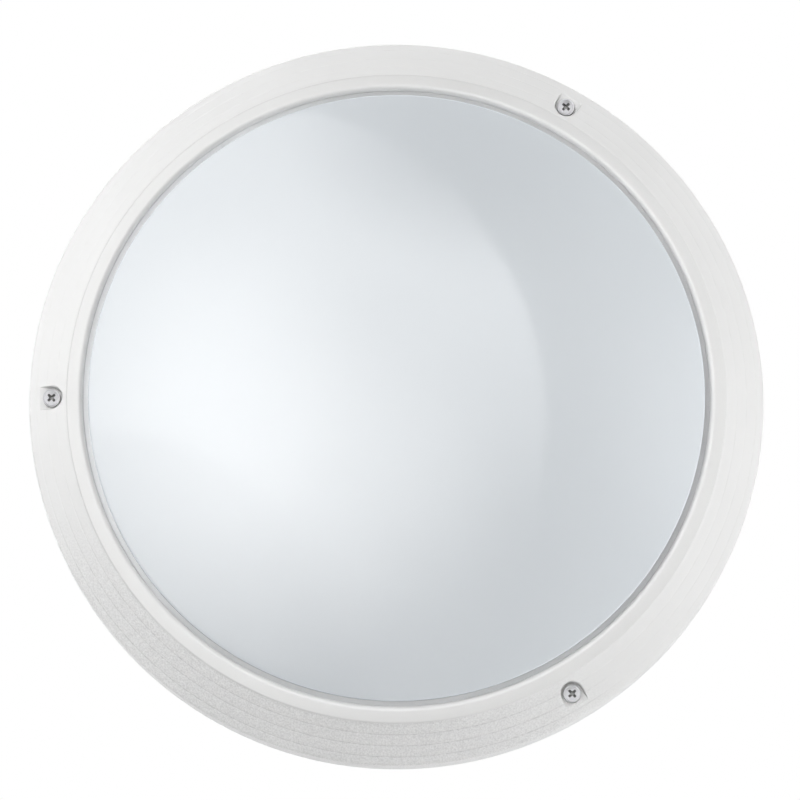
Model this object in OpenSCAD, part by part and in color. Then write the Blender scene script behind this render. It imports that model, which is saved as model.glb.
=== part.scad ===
// Round outdoor wall light: a die-cast pan on the wall, a sloped bezel held by three
// recessed screws, an opal dome clamped under it, and the light source and its gear inside.
// Every piece is drawn with z leading away from the wall and y up. front_facing() then
// turns it, so that the wall is the plane y = 0 and the light looks along -Y.

/* [Bezel] */
// Diameter of the opening that the dome shows through
opening_d = 280; // [270:0.1:300]
// Radial width of the step ring round the opening
ring_w = 7.6; // [6.8:0.1:9]
// Height of the rounded step from the flange up to the ring
ring_step = 0.8; // [0.4:0.1:1.4]
// Further rise of the ring from the step to its inner lip
ring_rise = 1.7; // [0.6:0.1:3]
// Radius of the ring's inner lip
lip_r = 2.2; // [1.2:0.1:2.6]
// Thickness of the ring at its lip
ring_t = 5; // [4:0.1:6.5]
// Radial width of the sloped flange
flange_w = 17.4; // [16.6:0.1:22]
// Height that the flange gains from its outer edge to the step ring
flange_rise = 11; // [9:0.1:13]
// Height of the flange's inner edge above the seat on the pan
bezel_h = 18; // [16:0.1:22]
// Depth of the skirt behind the flange's outer edge
skirt_h = 16; // [12:0.1:20]
// Radius of the edge between the flange and the skirt
edge_r = 2; // [1:0.1:3.4]
// Thickness of the cast bezel
bezel_wall = 3; // [2.4:0.1:3.4]
// Number of fine grooves round the flange
groove_count = 3; // [1:1:3]
// Distance from the step ring to the first groove
groove_inset = 4.7; // [3:0.1:4.8]
// Distance from one groove to the next
groove_pitch = 4.6; // [3:0.1:4.8]
// Width of a groove
groove_w = 0.5; // [0.3:0.1:0.8]
// Depth of a groove
groove_depth = 0.15; // [0.1:0.05:0.4]

/* [Bezel screws] */
// Angles of the three screws round the bezel, from the right-hand side
screw_angles = [60, 180, 300];
// Diameter of the screw's thread
screw_d = 4; // [3:0.1:4.2]
// Diameter of the screw's pan head
screw_head_d = 8; // [6:0.1:8.2]
// Height of the screw's pan head
screw_head_h = 3.1; // [2:0.1:3.2]
// Length of the screw under its head
screw_l = 22; // [16:0.5:25]
// Clearance round the head in its recess
recess_gap = 1.2; // [0.6:0.1:1.8]
// Width of the flange left between the step ring and a recess
recess_land = 1.8; // [1.6:0.1:2.8]
// Distance from the screw's axis to where the recess floor runs out through the slope
recess_run = 5.5; // [4:0.1:6.5]
// Thickness of the boss round a recess
recess_wall = 2.2; // [1.6:0.1:2.6]

/* [Dome] */
// Gap between the bezel's lip and the dome's shoulder
lip_gap = 2.2; // [1:0.1:3]
// Rise of the dome above the bezel's lip
dome_rise = 28.5; // [20:0.5:45]
// Radius of the shoulder where the dome turns down
shoulder_r = 1.5; // [1:0.1:4]
// Thickness of the opal material
dome_t = 2.8; // [2:0.1:3.4]
// Thickness of the flange round the dome's foot
dome_flange_t = 2.8; // [2:0.1:3.6]
// Width of that flange under the bezel's step ring
dome_lap = 5; // [4.4:0.1:5.4]
// Thickness of the flat of the gasket on the dome's flange
dome_gasket_t = 1.2; // [0.8:0.1:2]
// Depth of the gasket's rim below the bezel's lip, in the gap round the dome
gasket_drop = 2.2; // [1.6:0.1:3]
// Number of spring clips that clamp the dome
clip_count = 6; // [3:1:8]
// Thickness of a spring clip
clip_t = 0.8; // [0.6:0.1:1.2]
// Width of a spring clip
clip_w = 15; // [13:0.5:20]
// Diameter of a clip screw
clip_screw_d = 2.5; // [2:0.1:3]

/* [Pan] */
// Depth of the pan from the wall to the bezel's seat
pan_depth = 46; // [44:0.5:60]
// Thickness of the pan's wall
pan_wall = 3; // [2.4:0.1:3.6]
// Thickness of the pan's floor
floor_t = 3; // [2.4:0.1:4]
// Depth of the recess behind the floor
back_recess = 3; // [2:0.1:4]
// Width of the land that bears on the wall
land_w = 7; // [5:0.5:12]
// Draft of the pan's side from rim to wall
pan_draft = 2.2; // [0.5:0.1:4]
// Depth of the gasket groove in the rim
seal_depth = 4; // [3.4:0.1:5]
// Thickness of the lips on both sides of the gasket groove
seal_lip = 2; // [1.4:0.1:2.2]
// Height of the gasket in the groove
seal_h = 3; // [2:0.1:3.3]
// Thickness of the bezel's tongue that presses the gasket
tongue_t = 2.4; // [1.8:0.1:2.8]
// Diameter of a wall-fixing hole
fixing_d = 5.5; // [4.5:0.1:6.5]
// Diameter of the circle of wall-fixing holes
fixing_pcd = 250; // [236:1:252]
// Number of wall-fixing holes
fixing_count = 4; // [3:1:4]
// Number of radial ribs inside and behind the pan
rib_count = 12; // [8:4:16]

/* [Cable entries] */
// Place of the rear cable entry to the right of the centre
entry_x = -40; // [-60:1:-30]
// Place of the rear cable entry above the centre
entry_y = 52; // [40:1:62]
// Diameter of the hole for the rear grommet
entry_d = 20.5; // [16:0.5:24]
// Diameter of the supply cable that the grommet takes
cable_d = 7; // [6:0.5:10]
// Diameter of the thread of the two side entries
side_entry_d = 20; // [16:0.5:20]
// Height of the side entries above the wall
side_entry_z = 21; // [20:0.5:22]

/* [Light source] */
// Distance from the pan's floor to the gear tray
tray_h = 28; // [27:0.5:32]
// Clearance between the tray's rim and the pan's rim
tray_gap = 6.4; // [5.5:0.1:8]
// Radial width of the tray's sloped reflector rim
tray_rim_w = 18; // [14:0.5:20]
// Height of the reflector rim
tray_rim_h = 11; // [6:0.5:12]
// Thickness of the tray's sheet
tray_t = 1; // [0.8:0.1:1.5]
// Outer diameter of the light board
board_d = 184; // [172:1:200]
// Diameter of the light board's central hole
board_hole_d = 88; // [80:1:96]
// Thickness of the light board
board_t = 1.6; // [1:0.1:2]
// Number of light chips in the inner and the outer ring
chip_counts = [20, 28];

/* [Gear] */
// Length of the driver's case
driver_l = 128; // [116:1:130]
// Width of the driver's case
driver_w = 42; // [36:1:46]
// Height of the driver's case
driver_h = 23; // [20:0.5:24]
// Place of the driver below the centre
driver_y = -42; // [-46:1:-38]
// Wall of the driver's cover
driver_wall = 1.6; // [1.2:0.1:2]
// Place of the terminal block to the right of the centre
block_x = 38; // [34:1:42]
// Place of the terminal block above the centre
block_y = 50; // [46:1:56]
// Distance from one pole of the terminal block to the next
pole_pitch = 10; // [9.4:0.1:11]
// Length of the terminal block along its wires
block_l = 22; // [20:0.5:26]
// Diameter of a mains lead over its insulation
lead_d = 2.4; // [2:0.1:2.6]
// Diameter of a light board lead over its insulation
board_lead_d = 1.8; // [1.4:0.1:2]

/* [Hidden] */
$fn = 72;

// Overshoot of a cut past the face that it opens
cut = 1;

// Clearances
thread_gap = 0.05;
hole_gap = 0.35;
seat_gap = 0.3;
tongue_gap = 0.4;
ear_gap = 0.55;
gasket_gap = 0.1;
lead_gap = 0.2;

// Radii that the bezel, the dome and the pan share
open_r = opening_d / 2;
ring_r = open_r + ring_w;
bezel_r = ring_r + flange_w;
skirt_in_r = bezel_r - bezel_wall;
recess_r = screw_head_d / 2 + recess_gap;
screw_circle_r = ring_r + recess_land + recess_r;
screw_hole_r = screw_d / 2 + hole_gap;
ear_r = skirt_in_r - screw_circle_r - ear_gap;
dome_r = open_r - lip_gap;
dome_flange_r = open_r + dome_lap;
tongue_in_r = dome_flange_r + 2 * tongue_gap;
tongue_out_r = tongue_in_r + tongue_t;
seal_in_r = tongue_in_r - tongue_gap;
seal_out_r = tongue_out_r + tongue_gap;
rim_in_r = seal_in_r - seal_lip;
rim_out_r = seal_out_r + seal_lip;
pan_back_r = rim_out_r - pan_draft;
land_in_r = pan_back_r - land_w;

// Heights off the wall
floor_z = back_recess + floor_t;
flange_in_z = pan_depth + bezel_h;
edge_z = flange_in_z - flange_rise;
skirt_z = edge_z - skirt_h;
lip_z = flange_in_z + ring_step + ring_rise;
ring_under_z = lip_z - ring_t;
tongue_z = pan_depth - seal_depth + seal_h;
dome_flange_z = ring_under_z - dome_gasket_t;
dome_foot_z = dome_flange_z - dome_flange_t;
apex_z = lip_z + dome_rise;

// Slope of the flange, and the floor of the screw recesses
slope = atan2(flange_rise, flange_w);
under_drop = bezel_wall / cos(slope);
recess_z = edge_z + flange_rise * (bezel_r - screw_circle_r - recess_run) / flange_w;
retainer_r = screw_d / 2 + 2.2;
retainer_t = 1.2;

// Sphere of the dome, through the shoulder at the height of the lip
dome_sphere_r = (pow(dome_r, 2) + pow(dome_rise, 2)) / (2 * dome_rise);
dome_sphere_z = apex_z - dome_sphere_r;

// Spring clips and their bosses under the step ring
clip_head_d = 1.7 * clip_screw_d;
clip_circle_r = tongue_in_r - clip_head_d / 2 - seat_gap;
clip_boss_r = clip_screw_d / 2 + 1.5;
clip_boss_z = dome_foot_z + seat_gap;
clip_screw_l = 5;
clip_lip = 1.6;

// Tray and light board
pillar_r = 5;
pillar_land = 2;
tray_rim_r = rim_in_r - tray_gap - tray_t;
tray_flat_r = tray_rim_r - tray_rim_w;
pillar_circle_r = tray_flat_r - pillar_r - pillar_land;
tray_z = floor_z + tray_h;
board_z = tray_z + tray_t;
board_top_z = board_z + board_t;
gear_screw_d = 4;
small_screw_d = 3;
tip_out = 1.8;
board_screw_l = board_t + tray_t + tip_out;
tray_screw_l = 9;
board_screw_circle_r = (board_d + board_hole_d) / 4;
chip_size = [2.8, 3.5, 0.7];
chip_inset = 11;
chip_lens_r = 1.15;
connector_size = [11, 9, 4.2];
connector_x = -(board_hole_d / 2 + connector_size[0] / 2 + 2.5);
connector_mouth_z = board_top_z + 2;
connector_pole = 4.5;
bush_x = -15;
bush_hole_r = 4;
bush_lip = 1.4;
bush_lip_t = 1.2;

// Driver
gear_lift = 2;
driver_foot = 11;
driver_foot_w = 16;
driver_screw_l = 5.5;
driver_boss_r = 4.5;
driver_z = floor_z + gear_lift;
driver_plate_t = 2;
driver_screw_x = driver_l / 2 + driver_foot / 2;
driver_board_z = driver_z + driver_plate_t + 3;
driver_terminal_l = 13;
driver_terminal_h = 11;
driver_pole = 5;
driver_terminal_w = 3.4 * driver_pole;
driver_mouth_z = driver_board_z + board_t + 5;
driver_end_x = driver_l / 2 - driver_wall - 0.7;

// Components on the driver's board: place, size and share of the free height
driver_blocks = [
    [[-10, -10], [22, 20], 1],
    [[-14, -7], [30, 14], 0.7],
    [[-30, -12], [10, 3], 0.8]
];
driver_cans = [
    [[31, -8.5], 5, 1],
    [[31, 8.5], 5, 1],
    [[-26, 7], 4, 0.8],
    [[22, 0], 2.5, 0.6]
];

// Terminal block
block_z = floor_z + gear_lift;
block_w = 3 * pole_pitch;
block_ear = 8;
block_ear_w = 9;
block_plate_t = 3;
block_screw_l = 6.5;
block_boss_r = 3.5;
block_tower_h = 5.5;
barrel_z = block_z + 6;
sleeve_r = lead_d / 2 + lead_gap + 1.4;
sleeve_l = block_l - 4;
pole_screw_d = 2.5;
pole_screw_y = block_l / 4;
pole_head_r = pole_screw_d / 2 + 0.7;
pole_head_h = 2.4;
pole_slot = [2 * pole_screw_d, 0.8, 2];

// Earth terminal
earth_x = block_x + block_w / 2 + 20;
earth_y = block_y + 16;
earth_boss_r = 5.5;
earth_boss_h = 6;
earth_z = floor_z + earth_boss_h;
earth_screw_l = 6.5;
lug_t = 0.8;
lug_neck = 6;
lug_barrel_l = 8;
lug_barrel_r = lead_d / 2 + lead_gap + 0.6;
washer_t = 0.7;

// Wall fixings and cable entries
fixing_seat_z = floor_z + 1;
fixing_seal_r = 6;
fixing_seal_h = 2.6;
fixing_boss_h = 3;
grommet_lip = 2.5;
grommet_lip_t = 1.8;
grommet_nose = 11;
side_pad_r = side_entry_d / 2 + 4;
side_pad_t = 10;
side_pad_face = rim_out_r + 1.2;
side_seal_t = 1.2;
side_head_r = side_entry_d / 2 + 2.5;
side_head_h = 3;
side_shank = 9;

// Leads: length inside a terminal, straight run out of it, and where the bend begins
lead_in = 7;
board_lead_in = 5;
lead_out = 3;
lead_turn = 9;

// Colours of the finishes
white_coat = [0.93, 0.93, 0.93];
opal = [0.88, 0.91, 0.94];
bright_steel = [0.78, 0.78, 0.8];
grey_silicone = [0.62, 0.63, 0.65];

module front_facing() {
    rotate([90, 0, 0]) children();
}

module ring_of(count, radius, start = 0) {
    for (i = [0 : count - 1])
        rotate([0, 0, start + 360 * i / count])
            translate([radius, 0, 0]) children();
}

module at_screws() {
    for (a = screw_angles)
        rotate([0, 0, a])
            translate([screw_circle_r, 0, 0]) children();
}

// Points along a circular arc
function arc(centre, radius, from, to, steps = 8) = [
    for (i = [0 : steps])
        centre + radius * [cos(from + (to - from) * i / steps), sin(from + (to - from) * i / steps)]
];

// Height of the flange's outer surface at a radius
function flange_at(radius) = edge_z + flange_rise * (bezel_r - radius) / flange_w;

// The three corners of one groove, from its outer edge inwards
function groove_points(i) = let (mid = ring_r + groove_inset + i * groove_pitch) [
    [mid + groove_w / 2, flange_at(mid + groove_w / 2)],
    [mid - groove_depth * sin(slope), flange_at(mid) - groove_depth * cos(slope)],
    [mid - groove_w / 2, flange_at(mid - groove_w / 2)]
];

// The bezel's visible section: skirt, rounded edge, grooved slope, step and lip
function bezel_front() = concat(
    [[bezel_r, skirt_z]],
    arc([bezel_r - edge_r, edge_z - edge_r * tan((90 - slope) / 2)], edge_r, 0, 90 - slope),
    [for (i = [1 : groove_count], p = groove_points(groove_count - i)) p],
    [[ring_r, flange_in_z]],
    arc([ring_r - ring_step, flange_in_z], ring_step, 0, 90, 5),
    arc([open_r + lip_r, lip_z - lip_r], lip_r, 90, 180, 6)
);

// The bezel's hidden section: seat for the dome, gasket tongue, flange and skirt
function bezel_back() = [
    [open_r, ring_under_z],
    [tongue_in_r, ring_under_z],
    [tongue_in_r, tongue_z],
    [tongue_out_r, tongue_z],
    [tongue_out_r, flange_at(tongue_out_r) - under_drop],
    [skirt_in_r, flange_at(skirt_in_r) - under_drop],
    [skirt_in_r, skirt_z]
];

// The U-shaped recess that opens outwards over a screw
module screw_recess() {
    translate([0, 0, recess_z]) {
        cylinder(r = recess_r, h = flange_rise + cut);
        translate([0, -recess_r, 0]) cube([flange_w, 2 * recess_r, flange_rise + cut]);
    }
}

module screw_bosses() {
    at_screws()
        translate([0, 0, pan_depth])
            cylinder(r = recess_r + recess_wall, h = recess_z - pan_depth + recess_wall);
}

module bezel() {
    front_facing() color(white_coat) difference() {
        union() {
            rotate_extrude() polygon(concat(bezel_front(), bezel_back()));
            intersection() {
                rotate_extrude() polygon(concat(bezel_front(), [[0, lip_z - lip_r], [0, skirt_z]]));
                screw_bosses();
            }
            ring_of(clip_count, clip_circle_r, 180 / clip_count)
                translate([0, 0, clip_boss_z])
                    cylinder(r = clip_boss_r, h = ring_under_z - clip_boss_z + cut);
        }
        at_screws() {
            screw_recess();
            translate([0, 0, pan_depth - cut])
                cylinder(r = screw_hole_r, h = recess_z - pan_depth + 2 * cut);
            translate([0, 0, pan_depth - cut])
                cylinder(r = retainer_r + hole_gap, h = cut + retainer_t + seat_gap);
        }
        ring_of(clip_count, clip_circle_r, 180 / clip_count)
            translate([0, 0, clip_boss_z - cut])
                cylinder(r = clip_screw_d / 2 + thread_gap, h = clip_screw_l + cut);
    }
}

// Tapered cross for a driver tip, sunk from the plane z = 0
module cross_recess(width, depth) {
    intersection() {
        translate([0, 0, -depth]) cylinder(r1 = width * 0.16, r2 = width * 0.62, h = depth + depth * 0.3);
        for (a = [45, 135])
            rotate([0, 0, a])
                translate([-width, -width * 0.13, -depth]) cube([2 * width, width * 0.26, 2 * depth]);
    }
}

// Pan-head screw with its head's underside at z = 0 and its thread below
module pan_screw(diameter, length, head_d, head_h) {
    crown = head_h * 0.42;
    crown_r = (pow(head_d / 2, 2) + pow(crown, 2)) / (2 * crown);
    difference() {
        union() {
            translate([0, 0, -length]) cylinder(d1 = diameter * 0.7, d2 = diameter, h = diameter * 0.2);
            translate([0, 0, -length + diameter * 0.2]) cylinder(d = diameter, h = length - diameter * 0.2);
            intersection() {
                cylinder(d = head_d, h = head_h);
                translate([0, 0, head_h - crown_r]) sphere(r = crown_r);
            }
        }
        translate([0, 0, head_h]) cross_recess(head_d * 0.5, head_h * 0.62);
    }
}

module gear_screw(length) {
    pan_screw(gear_screw_d, length, gear_screw_d * 1.9, gear_screw_d * 0.6);
}

module small_screw(length) {
    pan_screw(small_screw_d, length, small_screw_d * 1.9, small_screw_d * 0.62);
}

module bezel_screws() {
    front_facing() color(bright_steel)
        at_screws()
            translate([0, 0, recess_z]) pan_screw(screw_d, screw_l, screw_head_d, screw_head_h);
}

module screw_retainers() {
    front_facing() color("ivory")
        at_screws()
            translate([0, 0, pan_depth + seat_gap]) difference() {
                cylinder(r = retainer_r, h = retainer_t);
                translate([0, 0, -cut]) cylinder(r = screw_d / 2 + thread_gap, h = retainer_t + 2 * cut);
            }
}

// One side of the dome's section, from the shoulder's foot to the middle
function dome_side(radius, sphere_r, corner_r, steps) =
    let (
        corner_z = sqrt(pow(sphere_r - corner_r, 2) - pow(radius - corner_r, 2)),
        turn = atan2(corner_z, radius - corner_r)
    ) concat(
        arc([radius - corner_r, dome_sphere_z + corner_z], corner_r, 0, turn, 6),
        [for (p = arc([0, dome_sphere_z], sphere_r, turn, 90, steps)) if (p[0] < radius - corner_r) p]
    );

function reversed(points) = [for (i = [len(points) - 1 : -1 : 0]) points[i]];

module dome_notches(margin) {
    ring_of(clip_count, clip_circle_r, 180 / clip_count)
        translate([0, 0, dome_foot_z - cut]) {
            cylinder(r = clip_boss_r + margin, h = ring_under_z - dome_foot_z + 2 * cut);
            translate([0, -clip_boss_r - margin, 0])
                cube([dome_lap, 2 * (clip_boss_r + margin), ring_under_z - dome_foot_z + 2 * cut]);
        }
}

module diffuser() {
    front_facing() color(opal) difference() {
        rotate_extrude() polygon(concat(
            [[dome_flange_r, dome_foot_z], [dome_flange_r, dome_flange_z], [dome_r, dome_flange_z]],
            dome_side(dome_r, dome_sphere_r, shoulder_r, 28),
            reversed(dome_side(dome_r - dome_t, dome_sphere_r - dome_t, shoulder_r / 2, 28)),
            [[dome_r - dome_t, dome_foot_z]]
        ));
        dome_notches(seat_gap);
    }
}

// L-shaped ring: a flat between the dome's flange and the step ring, and a rim that fills the gap
module diffuser_gasket() {
    in_r = dome_r + gasket_gap;
    out_r = open_r - gasket_gap;
    rim_z = lip_z - gasket_drop;
    bevel = 0.4;
    front_facing() color(grey_silicone) difference() {
        rotate_extrude() polygon([
            [in_r, dome_flange_z],
            [dome_flange_r, dome_flange_z],
            [dome_flange_r, ring_under_z],
            [out_r, ring_under_z],
            [out_r, rim_z],
            [in_r + bevel, rim_z],
            [in_r, rim_z - bevel]
        ]);
        dome_notches(seat_gap);
    }
}

// Spring tab on one boss: its two ends press the dome's flange, its inner edge is turned down
module spring_clip() {
    reach_in = clip_circle_r - dome_r + dome_t;
    reach_out = tongue_in_r - clip_circle_r - seat_gap;
    translate([0, 0, dome_foot_z - clip_t]) difference() {
        union() {
            intersection() {
                translate([-reach_in, -clip_w / 2, 0]) cube([reach_in + reach_out, clip_w, clip_t]);
                translate([-clip_circle_r, 0, -cut])
                    cylinder(r = clip_circle_r + reach_out, h = clip_t + 2 * cut, $fn = 180);
            }
            translate([-reach_in, -clip_w / 2, -clip_lip]) cube([clip_t, clip_w, clip_lip + clip_t]);
        }
        translate([0, 0, -cut]) cylinder(d = clip_screw_d + hole_gap, h = clip_t + 2 * cut);
    }
}

module diffuser_clips() {
    front_facing() color(bright_steel)
        ring_of(clip_count, clip_circle_r, 180 / clip_count) spring_clip();
}

module clip_screws() {
    front_facing() color(bright_steel)
        ring_of(clip_count, clip_circle_r, 180 / clip_count)
            translate([0, 0, dome_foot_z - clip_t])
                rotate([180, 0, 0]) pan_screw(clip_screw_d, clip_screw_l, clip_head_d, clip_screw_d * 0.65);
}

// Radius of the pan's outer side at a height
function pan_side(z) = pan_back_r + pan_draft * z / pan_depth;

module pan_block() {
    foot_r = 2.5;
    rotate_extrude() polygon(concat(
        [[0, 0]],
        arc([pan_back_r - foot_r, foot_r], foot_r, -90, 0),
        [[rim_out_r, pan_depth], [0, pan_depth]]
    ));
}

module pan_inside() {
    corner_r = 5;
    groove_floor_t = 2;
    rim_h = seal_depth + groove_floor_t;
    shelf = rim_out_r - pan_wall - rim_in_r;
    side_z = pan_depth - rim_h - shelf;
    rotate_extrude() polygon(concat(
        [[0, floor_z]],
        arc([pan_side(floor_z) - pan_wall - corner_r, floor_z + corner_r], corner_r, -90, 0),
        [
            [pan_side(side_z) - pan_wall, side_z],
            [rim_in_r, pan_depth - rim_h],
            [rim_in_r, pan_depth + cut],
            [0, pan_depth + cut]
        ]
    ));
}

// Ear that a bezel screw goes into, webbed to the pan's side and tapered towards the wall
module screw_ear() {
    reach = screw_circle_r - pan_side(0) + pan_wall / 2;
    foot_z = pan_depth / 4;
    full_z = pan_depth - 0.86 * screw_l;
    intersection() {
        union() {
            translate([0, 0, foot_z]) cylinder(r = ear_r, h = pan_depth - foot_z);
            translate([-reach, -ear_r, foot_z]) cube([reach, 2 * ear_r, pan_depth - foot_z]);
        }
        rotate([90, 0, 0])
            linear_extrude(height = 4 * ear_r, center = true)
                polygon([
                    [-reach, foot_z],
                    [-screw_circle_r + pan_side(0), foot_z],
                    [ear_r + cut, full_z],
                    [ear_r + cut, pan_depth],
                    [-reach, pan_depth]
                ]);
    }
}

// The two side entries, above and below the centre, with z leading out of the pan
module at_side_entries() {
    for (a = [90, 270])
        rotate([0, 0, a])
            translate([side_pad_face, 0, side_entry_z])
                rotate([0, 90, 0]) children();
}

module at_fixings() {
    ring_of(fixing_count, fixing_pcd / 2) children();
}

module at_pillars() {
    ring_of(4, pillar_circle_r, 45) children();
}

module at_driver_screws() {
    for (side = [-1, 1])
        translate([side * driver_screw_x, driver_y, 0]) children();
}

module at_block_screws() {
    for (side = [-1, 1])
        translate([block_x + side * (block_w / 2 + block_ear / 2), block_y, 0]) children();
}

// Boss on the pan's floor
module floor_boss(radius, height) {
    translate([0, 0, floor_z - cut]) cylinder(r = radius, h = height + cut);
}

// Blind hole for a screw, from the top of its boss down
module tapped_hole(diameter, top_z, deep) {
    translate([0, 0, top_z - deep]) cylinder(r = diameter / 2 + thread_gap, h = deep + cut);
}

module pan_bosses() {
    web_t = 1.8;
    web_l = 3;
    web_angles = [45, 165, 285];
    at_pillars() {
        floor_boss(pillar_r, tray_h);
        for (a = web_angles)
            rotate([0, 0, a])
                translate([pillar_r - cut, -web_t / 2, floor_z - cut])
                    cube([web_l + cut, web_t, tray_h / 2 + cut]);
    }
    at_driver_screws() floor_boss(driver_boss_r, gear_lift);
    at_block_screws() floor_boss(block_boss_r, gear_lift);
    translate([earth_x, earth_y, 0]) floor_boss(earth_boss_r, earth_boss_h);
    at_fixings() cylinder(r = fixing_seal_r + fixing_boss_h, h = floor_z + fixing_boss_h);
}

module pan_holes() {
    tap_spare = 2;
    tap_floor = 1;
    at_screws() tapped_hole(screw_d, pan_depth, screw_l + pan_depth - recess_z + tap_spare);
    at_pillars() tapped_hole(gear_screw_d, tray_z, tray_screw_l - tray_t + tap_spare);
    at_driver_screws() tapped_hole(small_screw_d, driver_z, driver_z - back_recess - tap_floor);
    at_block_screws() tapped_hole(small_screw_d, block_z, block_z - back_recess - tap_floor);
    translate([earth_x, earth_y, 0])
        tapped_hole(gear_screw_d, earth_z, earth_screw_l - lug_t - washer_t + tap_spare);
    at_side_entries() tapped_hole(side_entry_d, 0, 2 * side_pad_t);
    at_fixings() {
        translate([0, 0, -cut]) cylinder(d = fixing_d, h = floor_z + fixing_boss_h);
        translate([0, 0, fixing_seat_z]) cylinder(r = fixing_seal_r + seat_gap, h = fixing_boss_h);
    }
    translate([entry_x, entry_y, -cut]) {
        cylinder(d = entry_d, h = floor_z + 2 * cut);
        cylinder(r = entry_d / 2 + grommet_lip + cut, h = back_recess + cut);
    }
}

// Gussets inside the pan's corner, and ribs behind its floor that run in to a ring round the hub
module pan_ribs() {
    rib_t = 2;
    hub_r = 36;
    rib_h = back_recess - 1;
    half_z = pan_depth / 2;
    gusset_l = 16;
    gusset_h = 4;
    for (i = [0 : rib_count - 1])
        rotate([0, 0, 360 * (i + 0.5) / rib_count]) {
            rotate([90, 0, 0])
                linear_extrude(height = rib_t, center = true)
                    polygon([
                        [land_in_r - gusset_l, floor_z - cut],
                        [pan_side(0) - 1, floor_z - cut],
                        [pan_side(half_z) - 1, half_z],
                        [pan_side(half_z) - pan_wall, half_z],
                        [land_in_r - gusset_l / 2, floor_z + gusset_h]
                    ]);
            translate([hub_r, -rib_t / 2, back_recess - rib_h])
                cube([land_in_r - hub_r + cut, rib_t, rib_h + cut]);
        }
    translate([0, 0, back_recess - rib_h]) difference() {
        cylinder(r = hub_r + rib_t, h = rib_h + cut);
        translate([0, 0, -cut]) cylinder(r = hub_r - rib_t, h = rib_h + 3 * cut);
    }
}

module side_pads() {
    at_side_entries()
        translate([0, 0, -side_pad_t]) cylinder(r = side_pad_r, h = side_pad_t);
}

module base_housing() {
    front_facing() color(white_coat) difference() {
        union() {
            difference() {
                union() {
                    pan_block();
                    at_screws() screw_ear();
                    side_pads();
                }
                difference() {
                    pan_inside();
                    side_pads();
                }
                translate([0, 0, -cut]) cylinder(r = land_in_r, h = back_recess + cut);
            }
            pan_ribs();
            pan_bosses();
        }
        translate([0, 0, pan_depth - seal_depth]) difference() {
            cylinder(r = seal_out_r, h = seal_depth + cut);
            translate([0, 0, -cut]) cylinder(r = seal_in_r, h = seal_depth + 3 * cut);
        }
        pan_holes();
    }
}

// Ring of silicone with a bulged section, between the pan's groove and the bezel's tongue
module housing_gasket() {
    front_facing() color(grey_silicone)
        rotate_extrude() polygon([
            [seal_in_r + 0.5, tongue_z - seal_h],
            [seal_out_r - 0.5, tongue_z - seal_h],
            [seal_out_r - 0.1, tongue_z - seal_h / 2],
            [seal_out_r - 0.3, tongue_z],
            [seal_in_r + 0.3, tongue_z],
            [seal_in_r + 0.1, tongue_z - seal_h / 2]
        ]);
}

// Sheet disc with a sloped reflector rim
module gear_tray() {
    vent_count = 12;
    vent_r = 3;
    rim_slope = atan2(tray_rim_h, tray_rim_r - tray_flat_r);
    fold = tray_t * tan(rim_slope / 2);
    front_facing() color(white_coat) difference() {
        rotate_extrude() polygon([
            [0, tray_z],
            [tray_flat_r, tray_z],
            [tray_rim_r, tray_z + tray_rim_h],
            [tray_rim_r + tray_t, tray_z + tray_rim_h],
            [tray_rim_r + tray_t, tray_z + tray_rim_h + tray_t],
            [tray_rim_r - fold, tray_z + tray_rim_h + tray_t],
            [tray_flat_r - fold, board_z],
            [0, board_z]
        ]);
        at_pillars()
            translate([0, 0, tray_z - cut]) cylinder(r = gear_screw_d / 2 + hole_gap, h = tray_t + 2 * cut);
        ring_of(4, board_screw_circle_r, 45)
            translate([0, 0, tray_z - cut])
                cylinder(r = small_screw_d / 2 + thread_gap, h = tray_t + 2 * cut);
        translate([bush_x, 0, tray_z - cut]) cylinder(r = bush_hole_r, h = tray_t + 2 * cut);
        ring_of(vent_count, (board_d / 2 + pillar_circle_r) / 2, 180 / vent_count)
            translate([0, 0, tray_z - cut]) cylinder(r = vent_r, h = tray_t + 2 * cut);
    }
}

module tray_screws() {
    front_facing() color(bright_steel)
        at_pillars()
            translate([0, 0, board_z]) gear_screw(tray_screw_l);
}

// Rubber bush that lines the tray's hole for the two board leads
module tray_bush() {
    bore_r = board_lead_d + 2 * lead_gap + 0.4;
    front_facing() color("dimgray")
        translate([bush_x, 0, 0])
            rotate_extrude() polygon([
                [bore_r, tray_z - bush_lip_t],
                [bush_hole_r + bush_lip, tray_z - bush_lip_t],
                [bush_hole_r + bush_lip, tray_z],
                [bush_hole_r - thread_gap, tray_z],
                [bush_hole_r - thread_gap, board_z],
                [bush_hole_r + bush_lip, board_z],
                [bush_hole_r + bush_lip / 2, board_z + bush_lip_t],
                [bore_r, board_z + bush_lip_t]
            ]);
}

module led_board() {
    front_facing() color("whitesmoke") difference() {
        translate([0, 0, board_z]) cylinder(d = board_d, h = board_t);
        translate([0, 0, board_z - cut]) cylinder(d = board_hole_d, h = board_t + 2 * cut);
        ring_of(4, board_screw_circle_r, 45)
            translate([0, 0, board_z - cut])
                cylinder(r = small_screw_d / 2 + hole_gap, h = board_t + 2 * cut);
    }
}

module light_chip() {
    translate([-chip_size[0] / 2, -chip_size[1] / 2, board_top_z]) difference() {
        cube(chip_size);
        translate([chip_size[0] / 2, chip_size[1] / 2, chip_size[2] / 2])
            cylinder(r1 = 0.8 * chip_lens_r, r2 = chip_lens_r, h = chip_size[2]);
    }
}

module led_chips() {
    front_facing() color("khaki") {
        ring_of(chip_counts[0], board_hole_d / 2 + chip_inset, 180 / chip_counts[0]) light_chip();
        ring_of(chip_counts[1], board_d / 2 - chip_inset, 180 / chip_counts[1]) light_chip();
    }
}

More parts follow.
